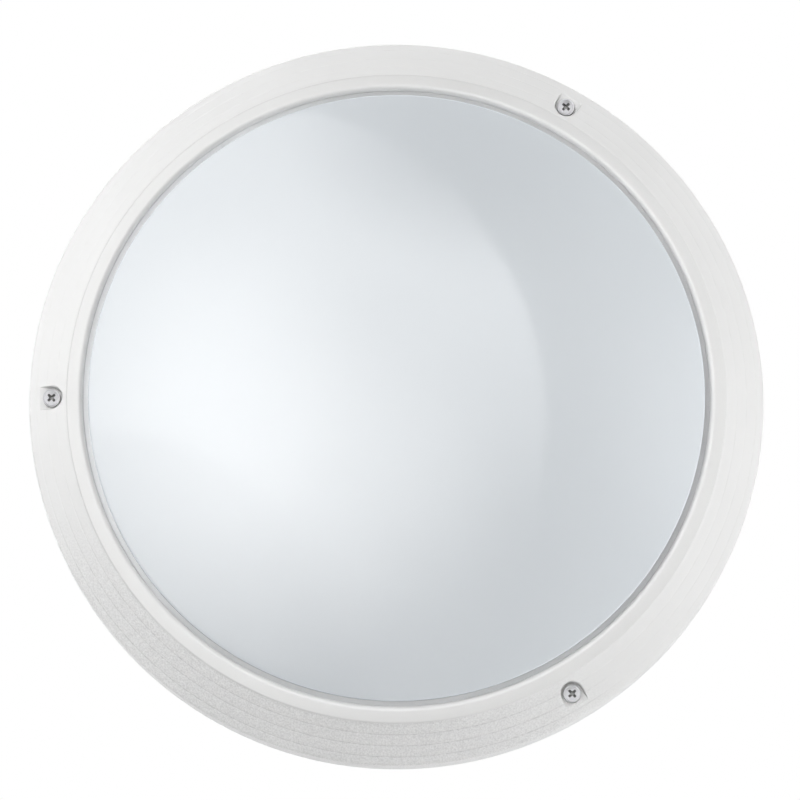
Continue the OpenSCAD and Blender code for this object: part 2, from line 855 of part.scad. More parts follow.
module led_board_screws() {
    front_facing() color(bright_steel)
        ring_of(4, board_screw_circle_r, 45)
            translate([0, 0, board_top_z]) small_screw(board_screw_l);
}

// Two-pole push-in terminal: each pole has a mouth in the end and a release slot on top
module push_terminal(size, pole, wire_d, mouth_z, depth) {
    slot_w = 1.6;
    difference() {
        translate([-size[0] / 2, -size[1] / 2, 0]) cube(size);
        for (side = [-0.5, 0.5]) {
            translate([size[0] / 2 - depth, side * pole, mouth_z])
                rotate([0, 90, 0]) cylinder(r = wire_d / 2 + lead_gap, h = depth + cut);
            translate([-size[0] / 4, side * pole - slot_w / 2, size[2] - slot_w / 2])
                cube([slot_w, slot_w, slot_w]);
        }
    }
}

module led_connector() {
    front_facing() color("snow")
        translate([connector_x, 0, board_top_z])
            push_terminal(
                connector_size, connector_pole, board_lead_d,
                connector_mouth_z - board_top_z, board_lead_in + 1
            );
}

// Flat outline with round corners, centred
module rounded_rect(length, width, radius) {
    square([length - 2 * radius, width], center = true);
    square([length, width - 2 * radius], center = true);
    for (x = [-1, 1], y = [-1, 1])
        translate([x * (length / 2 - radius), y * (width / 2 - radius)]) circle(r = radius);
}

module at_driver() {
    translate([0, driver_y, 0]) children();
}

module driver_base() {
    corner_r = 2;
    post_r = 3;
    front_facing() color("gainsboro") at_driver() difference() {
        union() {
            translate([0, 0, driver_z]) linear_extrude(height = driver_plate_t) {
                rounded_rect(driver_l, driver_w, corner_r);
                rounded_rect(driver_l + 2 * driver_foot, driver_foot_w, 1.5 * corner_r);
            }
            for (x = [-1, 1], y = [-1, 1])
                translate([x * driver_l / 3, y * driver_w / 3, driver_z])
                    cylinder(r = post_r, h = driver_board_z - driver_z);
        }
        for (side = [-1, 1])
            translate([side * driver_screw_x, 0, driver_z - cut])
                cylinder(r = small_screw_d / 2 + hole_gap, h = driver_plate_t + 2 * cut);
    }
}

module driver_board() {
    head_gap = 1.5;
    edge_gap = 0.5;
    top_z = driver_board_z + board_t;
    tall = driver_z + driver_h - driver_wall - head_gap - top_z;
    inset = 2 * (driver_wall + edge_gap);
    front_facing() color("darkseagreen") at_driver() {
        translate([0, 0, driver_board_z]) linear_extrude(height = board_t)
            square([driver_l - inset, driver_w - inset], center = true);
        for (b = driver_blocks)
            translate([b[0][0], b[0][1], top_z - cut]) cube([b[1][0], b[1][1], b[2] * tall + cut]);
        for (c = driver_cans)
            translate([c[0][0], c[0][1], top_z - cut]) cylinder(r = c[1], h = c[2] * tall + cut);
    }
}

module at_driver_ends() {
    for (turn = [0, 180])
        at_driver() rotate([0, 0, turn])
            translate([driver_end_x - driver_terminal_l / 2, 0, 0]) children();
}

module driver_terminals() {
    front_facing() color("orange")
        at_driver_ends()
            translate([0, 0, driver_board_z + board_t])
                push_terminal(
                    [driver_terminal_l, driver_terminal_w, driver_terminal_h],
                    driver_pole, lead_d, driver_mouth_z - driver_board_z - board_t, lead_in + 1
                );
}

module driver_cover() {
    foot_z = driver_z + driver_plate_t;
    corner_r = 2;
    window = [8, driver_terminal_w + 1, 8];
    vent = [2.5, 8, driver_h / 3];
    vent_pitch = 8;
    front_facing() color("gainsboro") at_driver() difference() {
        translate([0, 0, foot_z]) linear_extrude(height = driver_z + driver_h - foot_z)
            rounded_rect(driver_l, driver_w, corner_r);
        translate([0, 0, foot_z - cut])
            linear_extrude(height = driver_z + driver_h - foot_z - driver_wall + cut)
                rounded_rect(driver_l - 2 * driver_wall, driver_w - 2 * driver_wall, corner_r / 2);
        for (side = [-1, 1])
            translate([side * driver_l / 2, 0, driver_mouth_z]) cube(window, center = true);
        for (i = [-4 : 4], y = [-1, 1])
            translate([vent_pitch * i, y * driver_w / 2, driver_z + driver_h / 2])
                cube(vent, center = true);
    }
}

module driver_screws() {
    front_facing() color(bright_steel)
        at_driver_screws()
            translate([0, 0, driver_z + driver_plate_t]) small_screw(driver_screw_l);
}

function pole_x(i) = block_x + i * pole_pitch;

module at_poles() {
    for (i = [-1 : 1])
        translate([pole_x(i), block_y, barrel_z]) children();
}

module at_pole_screws() {
    at_poles()
        for (side = [-1, 1])
            translate([0, side * pole_screw_y, 0]) children();
}

module terminal_block() {
    barrel_w = pole_pitch - 2;
    roof_t = 1.2;
    front_facing() color("ivory") difference() {
        union() {
            translate([block_x, block_y, block_z]) linear_extrude(height = block_plate_t) {
                rounded_rect(block_w + 2 * block_ear, block_ear_w, block_ear_w / 3);
                rounded_rect(block_w, sleeve_l, 2);
            }
            at_poles()
                translate([-barrel_w / 2, -block_l / 2, block_z - barrel_z])
                    cube([barrel_w, block_l, barrel_z - block_z + sleeve_r + roof_t]);
            at_pole_screws() cylinder(d = barrel_w, h = sleeve_r + block_tower_h);
        }
        at_poles() rotate([90, 0, 0]) {
            cylinder(r = sleeve_r + thread_gap, h = sleeve_l, center = true);
            cylinder(r = lead_d / 2 + 2 * lead_gap, h = block_l + 2 * cut, center = true);
        }
        at_pole_screws() cylinder(r = pole_head_r + seat_gap, h = sleeve_r + block_tower_h + cut);
        at_block_screws()
            translate([0, 0, block_z - cut])
                cylinder(r = small_screw_d / 2 + hole_gap, h = block_plate_t + 2 * cut);
    }
}

module terminal_sleeves() {
    front_facing() color("goldenrod") difference() {
        at_poles() rotate([90, 0, 0]) cylinder(r = sleeve_r, h = sleeve_l, center = true);
        at_poles() rotate([90, 0, 0])
            cylinder(r = lead_d / 2 + lead_gap, h = sleeve_l + 2 * cut, center = true);
        at_pole_screws() cylinder(r = pole_screw_d / 2 + thread_gap, h = sleeve_r + cut);
    }
}

module terminal_screws() {
    tip = lead_d / 2 + lead_gap / 2;
    head_z = sleeve_r + 2;
    front_facing() color(bright_steel)
        at_pole_screws() difference() {
            union() {
                translate([0, 0, tip]) cylinder(d = pole_screw_d, h = head_z + cut - tip);
                translate([0, 0, head_z]) cylinder(r = pole_head_r, h = pole_head_h);
            }
            translate([-pole_slot[0] / 2, -pole_slot[1] / 2, head_z + pole_head_h / 2]) cube(pole_slot);
        }
}

module terminal_block_screws() {
    front_facing() color(bright_steel)
        at_block_screws()
            translate([0, 0, block_z + block_plate_t]) small_screw(block_screw_l);
}

module at_earth() {
    translate([earth_x, earth_y, earth_z]) children();
}

module earth_screw() {
    front_facing() color(bright_steel)
        at_earth() translate([0, 0, lug_t + washer_t]) gear_screw(earth_screw_l);
}

module earth_washer() {
    teeth = 10;
    front_facing() color(bright_steel)
        at_earth() translate([0, 0, lug_t]) difference() {
            cylinder(r = gear_screw_d, h = washer_t);
            translate([0, 0, -cut]) cylinder(r = gear_screw_d / 2 + thread_gap, h = washer_t + 2 * cut);
            ring_of(teeth, gear_screw_d)
                translate([0, 0, -cut]) cylinder(r = 0.5, h = washer_t + 2 * cut);
        }
}

// Ring lug whose barrel points down the pan and takes the earth lead
module earth_lug() {
    front_facing() color("goldenrod") at_earth() difference() {
        union() {
            cylinder(r = 1.2 * gear_screw_d, h = lug_t);
            translate([-gear_screw_d / 2, -lug_neck - cut, 0]) cube([gear_screw_d, lug_neck + cut, lug_t]);
            translate([0, -lug_neck, lug_barrel_r])
                rotate([90, 0, 0]) cylinder(r = lug_barrel_r, h = lug_barrel_l);
        }
        translate([0, 0, -cut]) cylinder(r = gear_screw_d / 2 + thread_gap, h = lug_t + 2 * cut);
        translate([0, -lug_neck + cut, lug_barrel_r])
            rotate([90, 0, 0]) cylinder(r = lead_d / 2 + lead_gap, h = lug_barrel_l + 2 * cut);
    }
}

module rear_grommet() {
    bore_r = cable_d / 2;
    edge = 0.8;
    nose_wall = 2;
    neck_r = entry_d / 2 - thread_gap;
    front_facing() color("dimgray")
        translate([entry_x, entry_y, 0])
            rotate_extrude() polygon([
                [bore_r, back_recess - grommet_lip_t],
                [neck_r + grommet_lip - edge, back_recess - grommet_lip_t],
                [neck_r + grommet_lip, back_recess],
                [neck_r, back_recess],
                [neck_r, floor_z],
                [neck_r + grommet_lip, floor_z],
                [neck_r + grommet_lip - edge, floor_z + grommet_lip_t],
                [neck_r - nose_wall, floor_z + grommet_lip_t],
                [bore_r + nose_wall, floor_z + grommet_nose],
                [bore_r, floor_z + grommet_nose]
            ]);
}

// Blanking plug with a hollow shank, a bevelled head and a hexagonal key socket
module side_plugs() {
    bevel = 0.8;
    top_z = side_seal_t + side_head_h;
    front_facing() color(white_coat)
        at_side_entries() difference() {
            union() {
                translate([0, 0, -side_shank])
                    cylinder(r1 = side_entry_d / 2 - bevel, r2 = side_entry_d / 2, h = bevel);
                translate([0, 0, bevel - side_shank])
                    cylinder(d = side_entry_d, h = side_shank - bevel + side_seal_t + cut);
                translate([0, 0, side_seal_t]) cylinder(r = side_head_r, h = side_head_h - bevel);
                translate([0, 0, top_z - bevel])
                    cylinder(r1 = side_head_r, r2 = side_head_r - bevel, h = bevel);
            }
            translate([0, 0, top_z - side_head_h * 2 / 3])
                cylinder(r = side_entry_d / 5, h = side_head_h, $fn = 6);
            translate([0, 0, -side_shank - cut]) cylinder(r = side_entry_d / 2 - 2.5, h = side_shank);
        }
}

module side_plug_seals() {
    front_facing() color(grey_silicone)
        at_side_entries() difference() {
            cylinder(r = side_head_r - 0.4, h = side_seal_t);
            translate([0, 0, -cut]) cylinder(r = side_entry_d / 2 + thread_gap, h = side_seal_t + 2 * cut);
        }
}

module fixing_seals() {
    front_facing() color(grey_silicone)
        at_fixings() translate([0, 0, fixing_seat_z]) difference() {
            cylinder(r = fixing_seal_r, h = fixing_seal_h);
            translate([0, 0, -cut]) cylinder(d = fixing_d + hole_gap, h = fixing_seal_h + 2 * cut);
        }
}

// Smooth curve through the points, with some steps from each point to the next
function spline(points, steps = 5) = let (last = len(points) - 1) concat(
    [for (i = [0 : last - 1], j = [0 : steps - 1]) let (
        a = points[max(i - 1, 0)],
        b = points[i],
        c = points[i + 1],
        d = points[min(i + 2, last)],
        t = j / steps
    )
        b + t * (c - a) / 2
            + pow(t, 2) * (2 * a - 5 * b + 4 * c - d) / 2
            + pow(t, 3) * (3 * b - a - 3 * c + d) / 2
    ],
    [points[last]]
);

function unit(v) = v / norm(v);

// The part of a vector that stands square on a direction, as a unit vector
function square_on(v, direction) = unit(v - (v * direction) * direction);

// One ring of a tube: points round a centre, from the side vector u towards v
function tube_ring(centre, u, v, radius, sides) = [
    for (k = [0 : sides - 1]) centre + radius * (cos(360 * k / sides) * u + sin(360 * k / sides) * v)
];

// Tube along a path; each ring's side vector follows on from the one before, so that nothing twists
module tube(path, radius) {
    sides = 8;
    last = len(path) - 1;
    along = [for (i = [0 : last]) unit(path[min(i + 1, last)] - path[max(i - 1, 0)])];
    across = [
        for (
            i = 0, u = square_on(cross(along[0], [0, 0, 1]), along[0]);
            i <= last;
            i = i + 1, u = square_on(u, along[min(i, last)])
        ) u
    ];
    rings = [
        for (i = [0 : last]) tube_ring(path[i], across[i], cross(along[i], across[i]), radius, sides)
    ];
    polyhedron(
        points = [for (ring = rings, p = ring) p],
        faces = concat(
            [[for (k = [sides - 1 : -1 : 0]) k]],
            [[for (k = [0 : sides - 1]) last * sides + k]],
            [for (i = [0 : last - 1], k = [0 : sides - 1]) let (next = (k + 1) % sides)
                [i * sides + next, (i + 1) * sides + next, (i + 1) * sides + k, i * sides + k]]
        )
    );
}

// Lead from the terminal block's inner mouth to the driver's right end; lane 0 is the inner one
module mains_lead(i, lane) {
    from_y = block_y - block_l / 2;
    end_x = driver_end_x;
    end_y = driver_y + (0.5 - lane) * driver_pole;
    turn_x = end_x + 22 + 7 * lane;
    half_z = (barrel_z + driver_mouth_z) / 2;
    tube(spline([
        [pole_x(i), from_y + lead_in, barrel_z],
        [pole_x(i), from_y - lead_out, barrel_z],
        [pole_x(i), from_y - lead_turn, barrel_z],
        [pole_x(i) + 7, from_y - 3 * lead_turn + 4 * lane, barrel_z + 1],
        [(pole_x(i) + turn_x) / 2 + 4, (from_y + driver_y) / 2 - 2 + 6 * lane, half_z],
        [turn_x - 3, (from_y + driver_y) / 2 - 14 + 2 * lane, driver_mouth_z],
        [turn_x + 1, end_y + 12, driver_mouth_z],
        [turn_x - 7, end_y + 1.5, driver_mouth_z],
        [end_x + lead_turn, end_y, driver_mouth_z],
        [end_x + lead_out, end_y, driver_mouth_z],
        [end_x - lead_in, end_y, driver_mouth_z]
    ]), lead_d / 2);
}

module lead_live() {
    front_facing() color("sienna") mains_lead(-1, 0);
}

module lead_neutral() {
    front_facing() color("steelblue") mains_lead(0, 1);
}

module lead_earth() {
    from_y = block_y - block_l / 2;
    lug_y = earth_y - lug_neck - lug_barrel_l;
    lug_z = earth_z + lug_barrel_r;
    front_facing() color("yellowgreen") tube(spline([
        [pole_x(1), from_y + lead_in, barrel_z],
        [pole_x(1), from_y - lead_out, barrel_z],
        [pole_x(1), from_y - lead_turn, barrel_z],
        [pole_x(1) + 5, from_y - 2 * lead_turn, (barrel_z + lug_z) / 2],
        [(pole_x(1) + earth_x) / 2 + 2, from_y - 2 * lead_turn - 2, (barrel_z + lug_z) / 2],
        [earth_x - 2, from_y - lead_turn - lead_out, lug_z],
        [earth_x, (from_y + lug_y) / 2 - 4, lug_z],
        [earth_x, lug_y - lead_out, lug_z],
        [earth_x, lug_y + lug_barrel_l - 1, lug_z]
    ]), lead_d / 2);
}

// Lead from the driver's left end, up through the tray's bush, to the light board; side is -1 or 1
module board_lead(side) {
    end_x = driver_end_x;
    from_y = driver_y - side * driver_pole / 2;
    turn_x = -end_x - 22 - 3 * side;
    in_y = side * (board_lead_d / 2 + lead_gap);
    mouth_x = connector_x + connector_size[0] / 2;
    mouth_y = side * connector_pole / 2;
    under_z = tray_z - 10;
    tube(spline([
        [-end_x + lead_in, from_y, driver_mouth_z],
        [-end_x - lead_out, from_y, driver_mouth_z],
        [-end_x - lead_turn, from_y, driver_mouth_z],
        [turn_x + 6, from_y + 1.5, driver_mouth_z],
        [turn_x, from_y + 11 + 2 * side, driver_mouth_z],
        [turn_x + 5, driver_y / 2 + 3 * side, driver_mouth_z],
        [bush_x - 47 - 3 * side, in_y - 4 + 1.5 * side, (driver_mouth_z + under_z) / 2],
        [bush_x - 27, in_y, under_z - 1],
        [bush_x - 7, in_y, under_z + 0.5],
        [bush_x - 1, in_y, tray_z - 5],
        [bush_x, in_y, tray_z + 1],
        [bush_x - 3.5, in_y, board_top_z + 5],
        [bush_x - 11, (in_y + mouth_y) / 2, board_top_z + 5.5],
        [mouth_x + lead_turn, mouth_y, connector_mouth_z + 0.6],
        [mouth_x + lead_out, mouth_y, connector_mouth_z],
        [mouth_x - board_lead_in, mouth_y, connector_mouth_z]
    ]), board_lead_d / 2);
}

module lead_led_positive() {
    front_facing() color("firebrick") board_lead(-1);
}

module lead_led_negative() {
    front_facing() color("dimgray") board_lead(1);
}

base_housing();
housing_gasket();
bezel();
bezel_screws();
screw_retainers();
diffuser();
diffuser_gasket();
diffuser_clips();
clip_screws();
gear_tray();
tray_screws();
tray_bush();
led_board();
led_chips();
led_connector();
led_board_screws();
driver_base();
driver_board();
driver_terminals();
driver_cover();
driver_screws();
terminal_block();
terminal_sleeves();
terminal_screws();
terminal_block_screws();
earth_screw();
earth_washer();
earth_lug();
rear_grommet();
side_plugs();
side_plug_seals();
fixing_seals();
lead_live();
lead_neutral();
lead_earth();
lead_led_positive();
lead_led_negative();
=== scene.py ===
"""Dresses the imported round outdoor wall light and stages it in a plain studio.

Heights are measured off the wall and radii from the light's axis, in millimetres. In the row
frame the wall is the plane y = 0, the light faces -Y, and +Z is up.
"""

import logging
import math
from dataclasses import dataclass, field
from enum import Enum
from typing import Iterable, Optional, Sequence, Union

import bmesh
import bpy
from mathutils import Matrix, Vector


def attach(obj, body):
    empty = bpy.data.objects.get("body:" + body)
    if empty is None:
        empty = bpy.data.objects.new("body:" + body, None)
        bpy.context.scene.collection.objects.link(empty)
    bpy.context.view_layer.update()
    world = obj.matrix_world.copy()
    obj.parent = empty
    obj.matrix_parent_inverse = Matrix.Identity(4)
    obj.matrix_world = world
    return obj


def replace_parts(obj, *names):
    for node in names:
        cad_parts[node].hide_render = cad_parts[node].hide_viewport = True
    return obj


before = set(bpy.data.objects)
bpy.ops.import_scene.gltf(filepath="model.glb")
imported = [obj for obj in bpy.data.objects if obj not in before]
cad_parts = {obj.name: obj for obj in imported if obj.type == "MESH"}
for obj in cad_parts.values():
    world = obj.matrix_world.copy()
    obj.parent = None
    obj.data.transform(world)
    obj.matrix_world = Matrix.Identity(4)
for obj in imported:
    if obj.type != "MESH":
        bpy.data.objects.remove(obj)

log = logging.getLogger("wall_light")

MM = 0.001
BODY = "root"
DOME_MIDDLE = Vector((0, -0.06, 0))  # what the lamps, the cards and their angles are centred on

Point = tuple[float, float]
Socket = bpy.types.NodeSocket
Fed = Union[float, Sequence[float], Socket]


def row_point(x: float, y: float, height: float) -> Vector:
    """Turns a place on the light into a point of the row frame.

    Args:
        x: Distance to the right of the axis, in millimetres.
        y: Distance above the axis, in millimetres.
        height: Height off the wall, in millimetres.

    Returns:
        The point in metres.
    """
    return Vector((x, -height, y)) * MM


def arc(centre: Point, radius: float, start: float, stop: float, steps: int = 8) -> list[Point]:
    """Gives points along a circular arc of a section.

    Args:
        centre: Centre of the arc, as radius and height.
        radius: Radius of the arc.
        start: First angle in degrees, from the outward direction.
        stop: Last angle in degrees.
        steps: Number of straight steps.

    Returns:
        The points from start to stop.
    """
    turns = (math.radians(start + (stop - start) * i / steps) for i in range(steps + 1))
    return [(centre[0] + radius * math.cos(t), centre[1] + radius * math.sin(t)) for t in turns]


# Sizes


@dataclass(frozen=True)
class LightSizes:
    """Driving sizes of the light, in millimetres, as its solids have them."""

    opening_r: float = 140.0
    ring_w: float = 7.6
    ring_step: float = 0.8
    ring_rise: float = 1.7
    lip_r: float = 2.2
    ring_t: float = 5.0
    flange_w: float = 17.4
    flange_rise: float = 11.0
    seat_z: float = 46.0
    bezel_h: float = 18.0
    skirt_h: float = 16.0
    edge_r: float = 2.0
    wall: float = 3.0
    dome_lap: float = 5.0
    lip_gap: float = 2.2
    dome_rise: float = 28.5
    screw_d: float = 4.0
    head_d: float = 8.0
    head_h: float = 3.1
    screw_l: float = 22.0
    recess_gap: float = 1.2
    recess_land: float = 1.8
    recess_run: float = 5.5
    screw_angles: tuple[float, ...] = (60.0, 180.0, 300.0)
    clip_count: int = 6
    clip_circle_r: float = 143.375
    clip_boss_r: float = 2.75
    notch_gap: float = 0.3
    tongue_gap: float = 0.4

    @property
    def ring_r(self) -> float:
        """Outer radius of the step ring."""
        return self.opening_r + self.ring_w

    @property
    def bezel_r(self) -> float:
        """Outer radius of the bezel."""
        return self.ring_r + self.flange_w

    @property
    def flange_in_z(self) -> float:
        """Height of the flange's inner edge."""
        return self.seat_z + self.bezel_h

    @property
    def edge_z(self) -> float:
        """Height of the flange's outer edge."""
        return self.flange_in_z - self.flange_rise

    @property
    def skirt_z(self) -> float:
        """Height of the skirt's lower rim."""
        return self.edge_z - self.skirt_h

    @property
    def lip_z(self) -> float:
        """Height of the ring's inner lip."""
        return self.flange_in_z + self.ring_step + self.ring_rise

    @property
    def ring_under_z(self) -> float:
        """Height of the step ring's underside."""
        return self.lip_z - self.ring_t

    @property
    def slope(self) -> float:
        """Slope of the flange, in radians."""
        return math.atan2(self.flange_rise, self.flange_w)

    @property
    def recess_r(self) -> float:
        """Radius of a screw recess."""
        return self.head_d / 2 + self.recess_gap

    @property
    def screw_circle_r(self) -> float:
        """Radius of the circle of bezel screws."""
        return self.ring_r + self.recess_land + self.recess_r

    @property
    def recess_z(self) -> float:
        """Height of the recess floor, on which the screw head sits."""
        run = self.bezel_r - self.screw_circle_r - self.recess_run
        return self.edge_z + self.flange_rise * run / self.flange_w

    @property
    def dome_r(self) -> float:
        """Radius of the dome's outer side."""
        return self.opening_r - self.lip_gap

    @property
    def tongue_in_r(self) -> float:
        """Inner radius of the gasket tongue."""
        return self.opening_r + self.dome_lap + 2 * self.tongue_gap

    @property
    def clip_angles(self) -> tuple[float, ...]:
        """Places of the clips round the light, in degrees."""
        return tuple((i + 0.5) * 360 / self.clip_count for i in range(self.clip_count))

    def flange_at(self, radius: float) -> float:
        """Height of the flange's outer surface at a radius."""
        return self.edge_z + self.flange_rise * (self.bezel_r - radius) / self.flange_w


# Meshes


def new_object(name: str, mesh: bpy.types.Mesh) -> bpy.types.Object:
    """Links a new object with that mesh into the scene.

    Args:
        name: Name of the object.
        mesh: Its mesh, in the row frame.

    Returns:
        The object.
    """
    piece = bpy.data.objects.new(name, mesh)
    bpy.context.scene.collection.objects.link(piece)
    return piece


def mesh_from(name: str, points: Sequence[Vector],
              faces: Sequence[Sequence[int]]) -> bpy.types.Mesh:
    """Builds a smooth-shaded mesh whose faces look outwards.

    Args:
        name: Name of the mesh.
        points: Vertices in metres.
        faces: Vertex numbers of each face.

    Returns:
        The mesh.
    """
    mesh = bpy.data.meshes.new(name)
    mesh.from_pydata([tuple(p) for p in points], [], [tuple(f) for f in faces])
    face_outwards(mesh)
    return mesh


def face_outwards(mesh: bpy.types.Mesh) -> None:
    """Turns a closed mesh's faces outwards and shades them smooth.

    Args:
        mesh: The mesh, which is changed.
    """
    work = bmesh.new()
    work.from_mesh(mesh)
    bmesh.ops.recalc_face_normals(work, faces=work.faces)
    work.to_mesh(mesh)
    work.free()
    mesh.polygons.foreach_set("use_smooth", [True] * len(mesh.polygons))


def lathe(name: str, section: Sequence[Point], segments: int = 384) -> bpy.types.Object:
    """Revolves a closed section round the light's axis.

    Args:
        name: Name of the object.
        section: Points of the section as (radius, height), in millimetres.
        segments: Number of steps round the axis.

    Returns:
        The revolved object; a section point on the axis becomes one vertex.
    """
    points: list[Vector] = []
    rings: list[list[int]] = []
    for radius, height in section:
        if radius < 1e-6:
            rings.append([len(points)] * segments)
            points.append(row_point(0, 0, height))
            continue
        rings.append(list(range(len(points), len(points) + segments)))
        for k in range(segments):
            turn = 2 * math.pi * k / segments
            points.append(row_point(radius * math.cos(turn), radius * math.sin(turn), height))
    faces = []
    for i, ring in enumerate(rings):
        following = rings[(i + 1) % len(rings)]
        for k in range(segments):
            j = (k + 1) % segments
            face = list(dict.fromkeys((ring[k], ring[j], following[j], following[k])))
            if len(face) > 2:
                faces.append(face)
    return new_object(name, mesh_from(name, points, faces))


def combine(target: bpy.types.Object, others: Iterable[bpy.types.Object], operation: str) -> None:
    """Applies one Boolean operation with each of the others, which are then deleted.

    Args:
        target: Object that is changed.
        others: Closed objects to join, cut away or intersect with.
        operation: UNION, DIFFERENCE or INTERSECT.
    """
    for other in others:
        step = target.modifiers.new("step", "BOOLEAN")
        step.operation = operation
        step.solver = "EXACT"
        step.object = other
        bpy.context.view_layer.update()
        shown = target.evaluated_get(bpy.context.evaluated_depsgraph_get())
        done = bpy.data.meshes.new_from_object(shown)
        target.modifiers.clear()
        old, target.data = target.data, done
        bpy.data.meshes.remove(old)
        bpy.data.objects.remove(other)
    target.data.polygons.foreach_set("use_smooth", [True] * len(target.data.polygons))


def soften(piece: bpy.types.Object, angle: float = 32.0) -> None:
    """Smooths the shading over edges that turn less than an angle and keeps the rest crisp.

    Args:
        piece: Object to shade.
        angle: Largest smooth turn, in degrees.
    """
    piece.data.set_sharp_from_angle(angle=math.radians(angle))


def around(mesh_points: Iterable[Vector], angle: float, radius: float) -> list[Vector]:
    """Moves points out from the axis and turns them round it.

    Args:
        mesh_points: Points in local axes: x outwards, y round, z off the wall, in millimetres.
        angle: Turn from the right-hand side, in degrees.
        radius: Distance out from the axis.

    Returns:
        The points in the row frame.
    """
    turn = math.radians(angle)
    cos, sin = math.cos(turn), math.sin(turn)
    return [
        row_point((p[0] + radius) * cos - p[1] * sin, (p[0] + radius) * sin + p[1] * cos, p[2])
        for p in mesh_points
    ]


def lofted(name: str, levels: Sequence[Sequence[Vector]]) -> bpy.types.Object:
    """Joins closed loops of equal length into a capped solid.

    Args:
        name: Name of the object.
        levels: Loops of points, from one end to the other.

    Returns:
        The solid.
    """
    count = len(levels[0])
    points = [p for level in levels for p in level]
    faces = [list(range(count)), list(range(len(points) - count, len(points)))]
    for i in range(len(levels) - 1):
        for k in range(count):
            j = (k + 1) % count
            faces.append([i * count + k, i * count + j, (i + 1) * count + j, (i + 1) * count + k])
    return new_object(name, mesh_from(name, points, faces))


def circle_loop(radius: float, height: float, count: int = 48, twist: float = 0.0) -> list[Vector]:
    """Gives a level circle round the local z axis, as a loop for a loft."""
    turns = (2 * math.pi * (k + twist) / count for k in range(count))
    return [Vector((radius * math.cos(t), radius * math.sin(t), height)) for t in turns]


def clip_notches(sizes: LightSizes, low: float, high: float) -> list[bpy.types.Object]:
    """Builds the tools that cut a U-shaped notch for each clip boss out of a flange.

    Args:
        sizes: The light's sizes.
        low: Height of the tools' lower ends, in millimetres.
        high: Height of their upper ends.

    Returns:
        One closed object for each boss, which opens outwards.
    """
    radius, reach, steps = sizes.clip_boss_r + sizes.notch_gap, sizes.dome_lap, 16
    turns = (math.radians(90 + 180 * i / steps) for i in range(steps + 1))
    plan = [(radius * math.cos(t), radius * math.sin(t)) for t in turns]
    plan += [(reach, -radius), (reach, radius)]
    levels = [[Vector((u, v, z)) for u, v in plan] for z in (low, high)]
    return [lofted("notch", [around(level, angle, sizes.clip_circle_r) for level in levels])
            for angle in sizes.clip_angles]


def joined(name: str, pieces: Sequence[bpy.types.Object]) -> bpy.types.Object:
    """Joins several objects into one.

    Args:
        name: Name of the result.
        pieces: Objects to join; the first one stays.

    Returns:
        The joined object.
    """
    work = bmesh.new()
    for piece in pieces:
        work.from_mesh(piece.data)
    mesh = bpy.data.meshes.new(name)
    work.to_mesh(mesh)
    work.free()
    for piece in pieces:
        bpy.data.objects.remove(piece)
    return new_object(name, mesh)


# Finishes


class Pattern(Enum):
    """How the colour of a finish varies over the surface."""

    CLOUDED = "clouded"
    BRUSHED = "brushed"
    STRIPED = "striped"


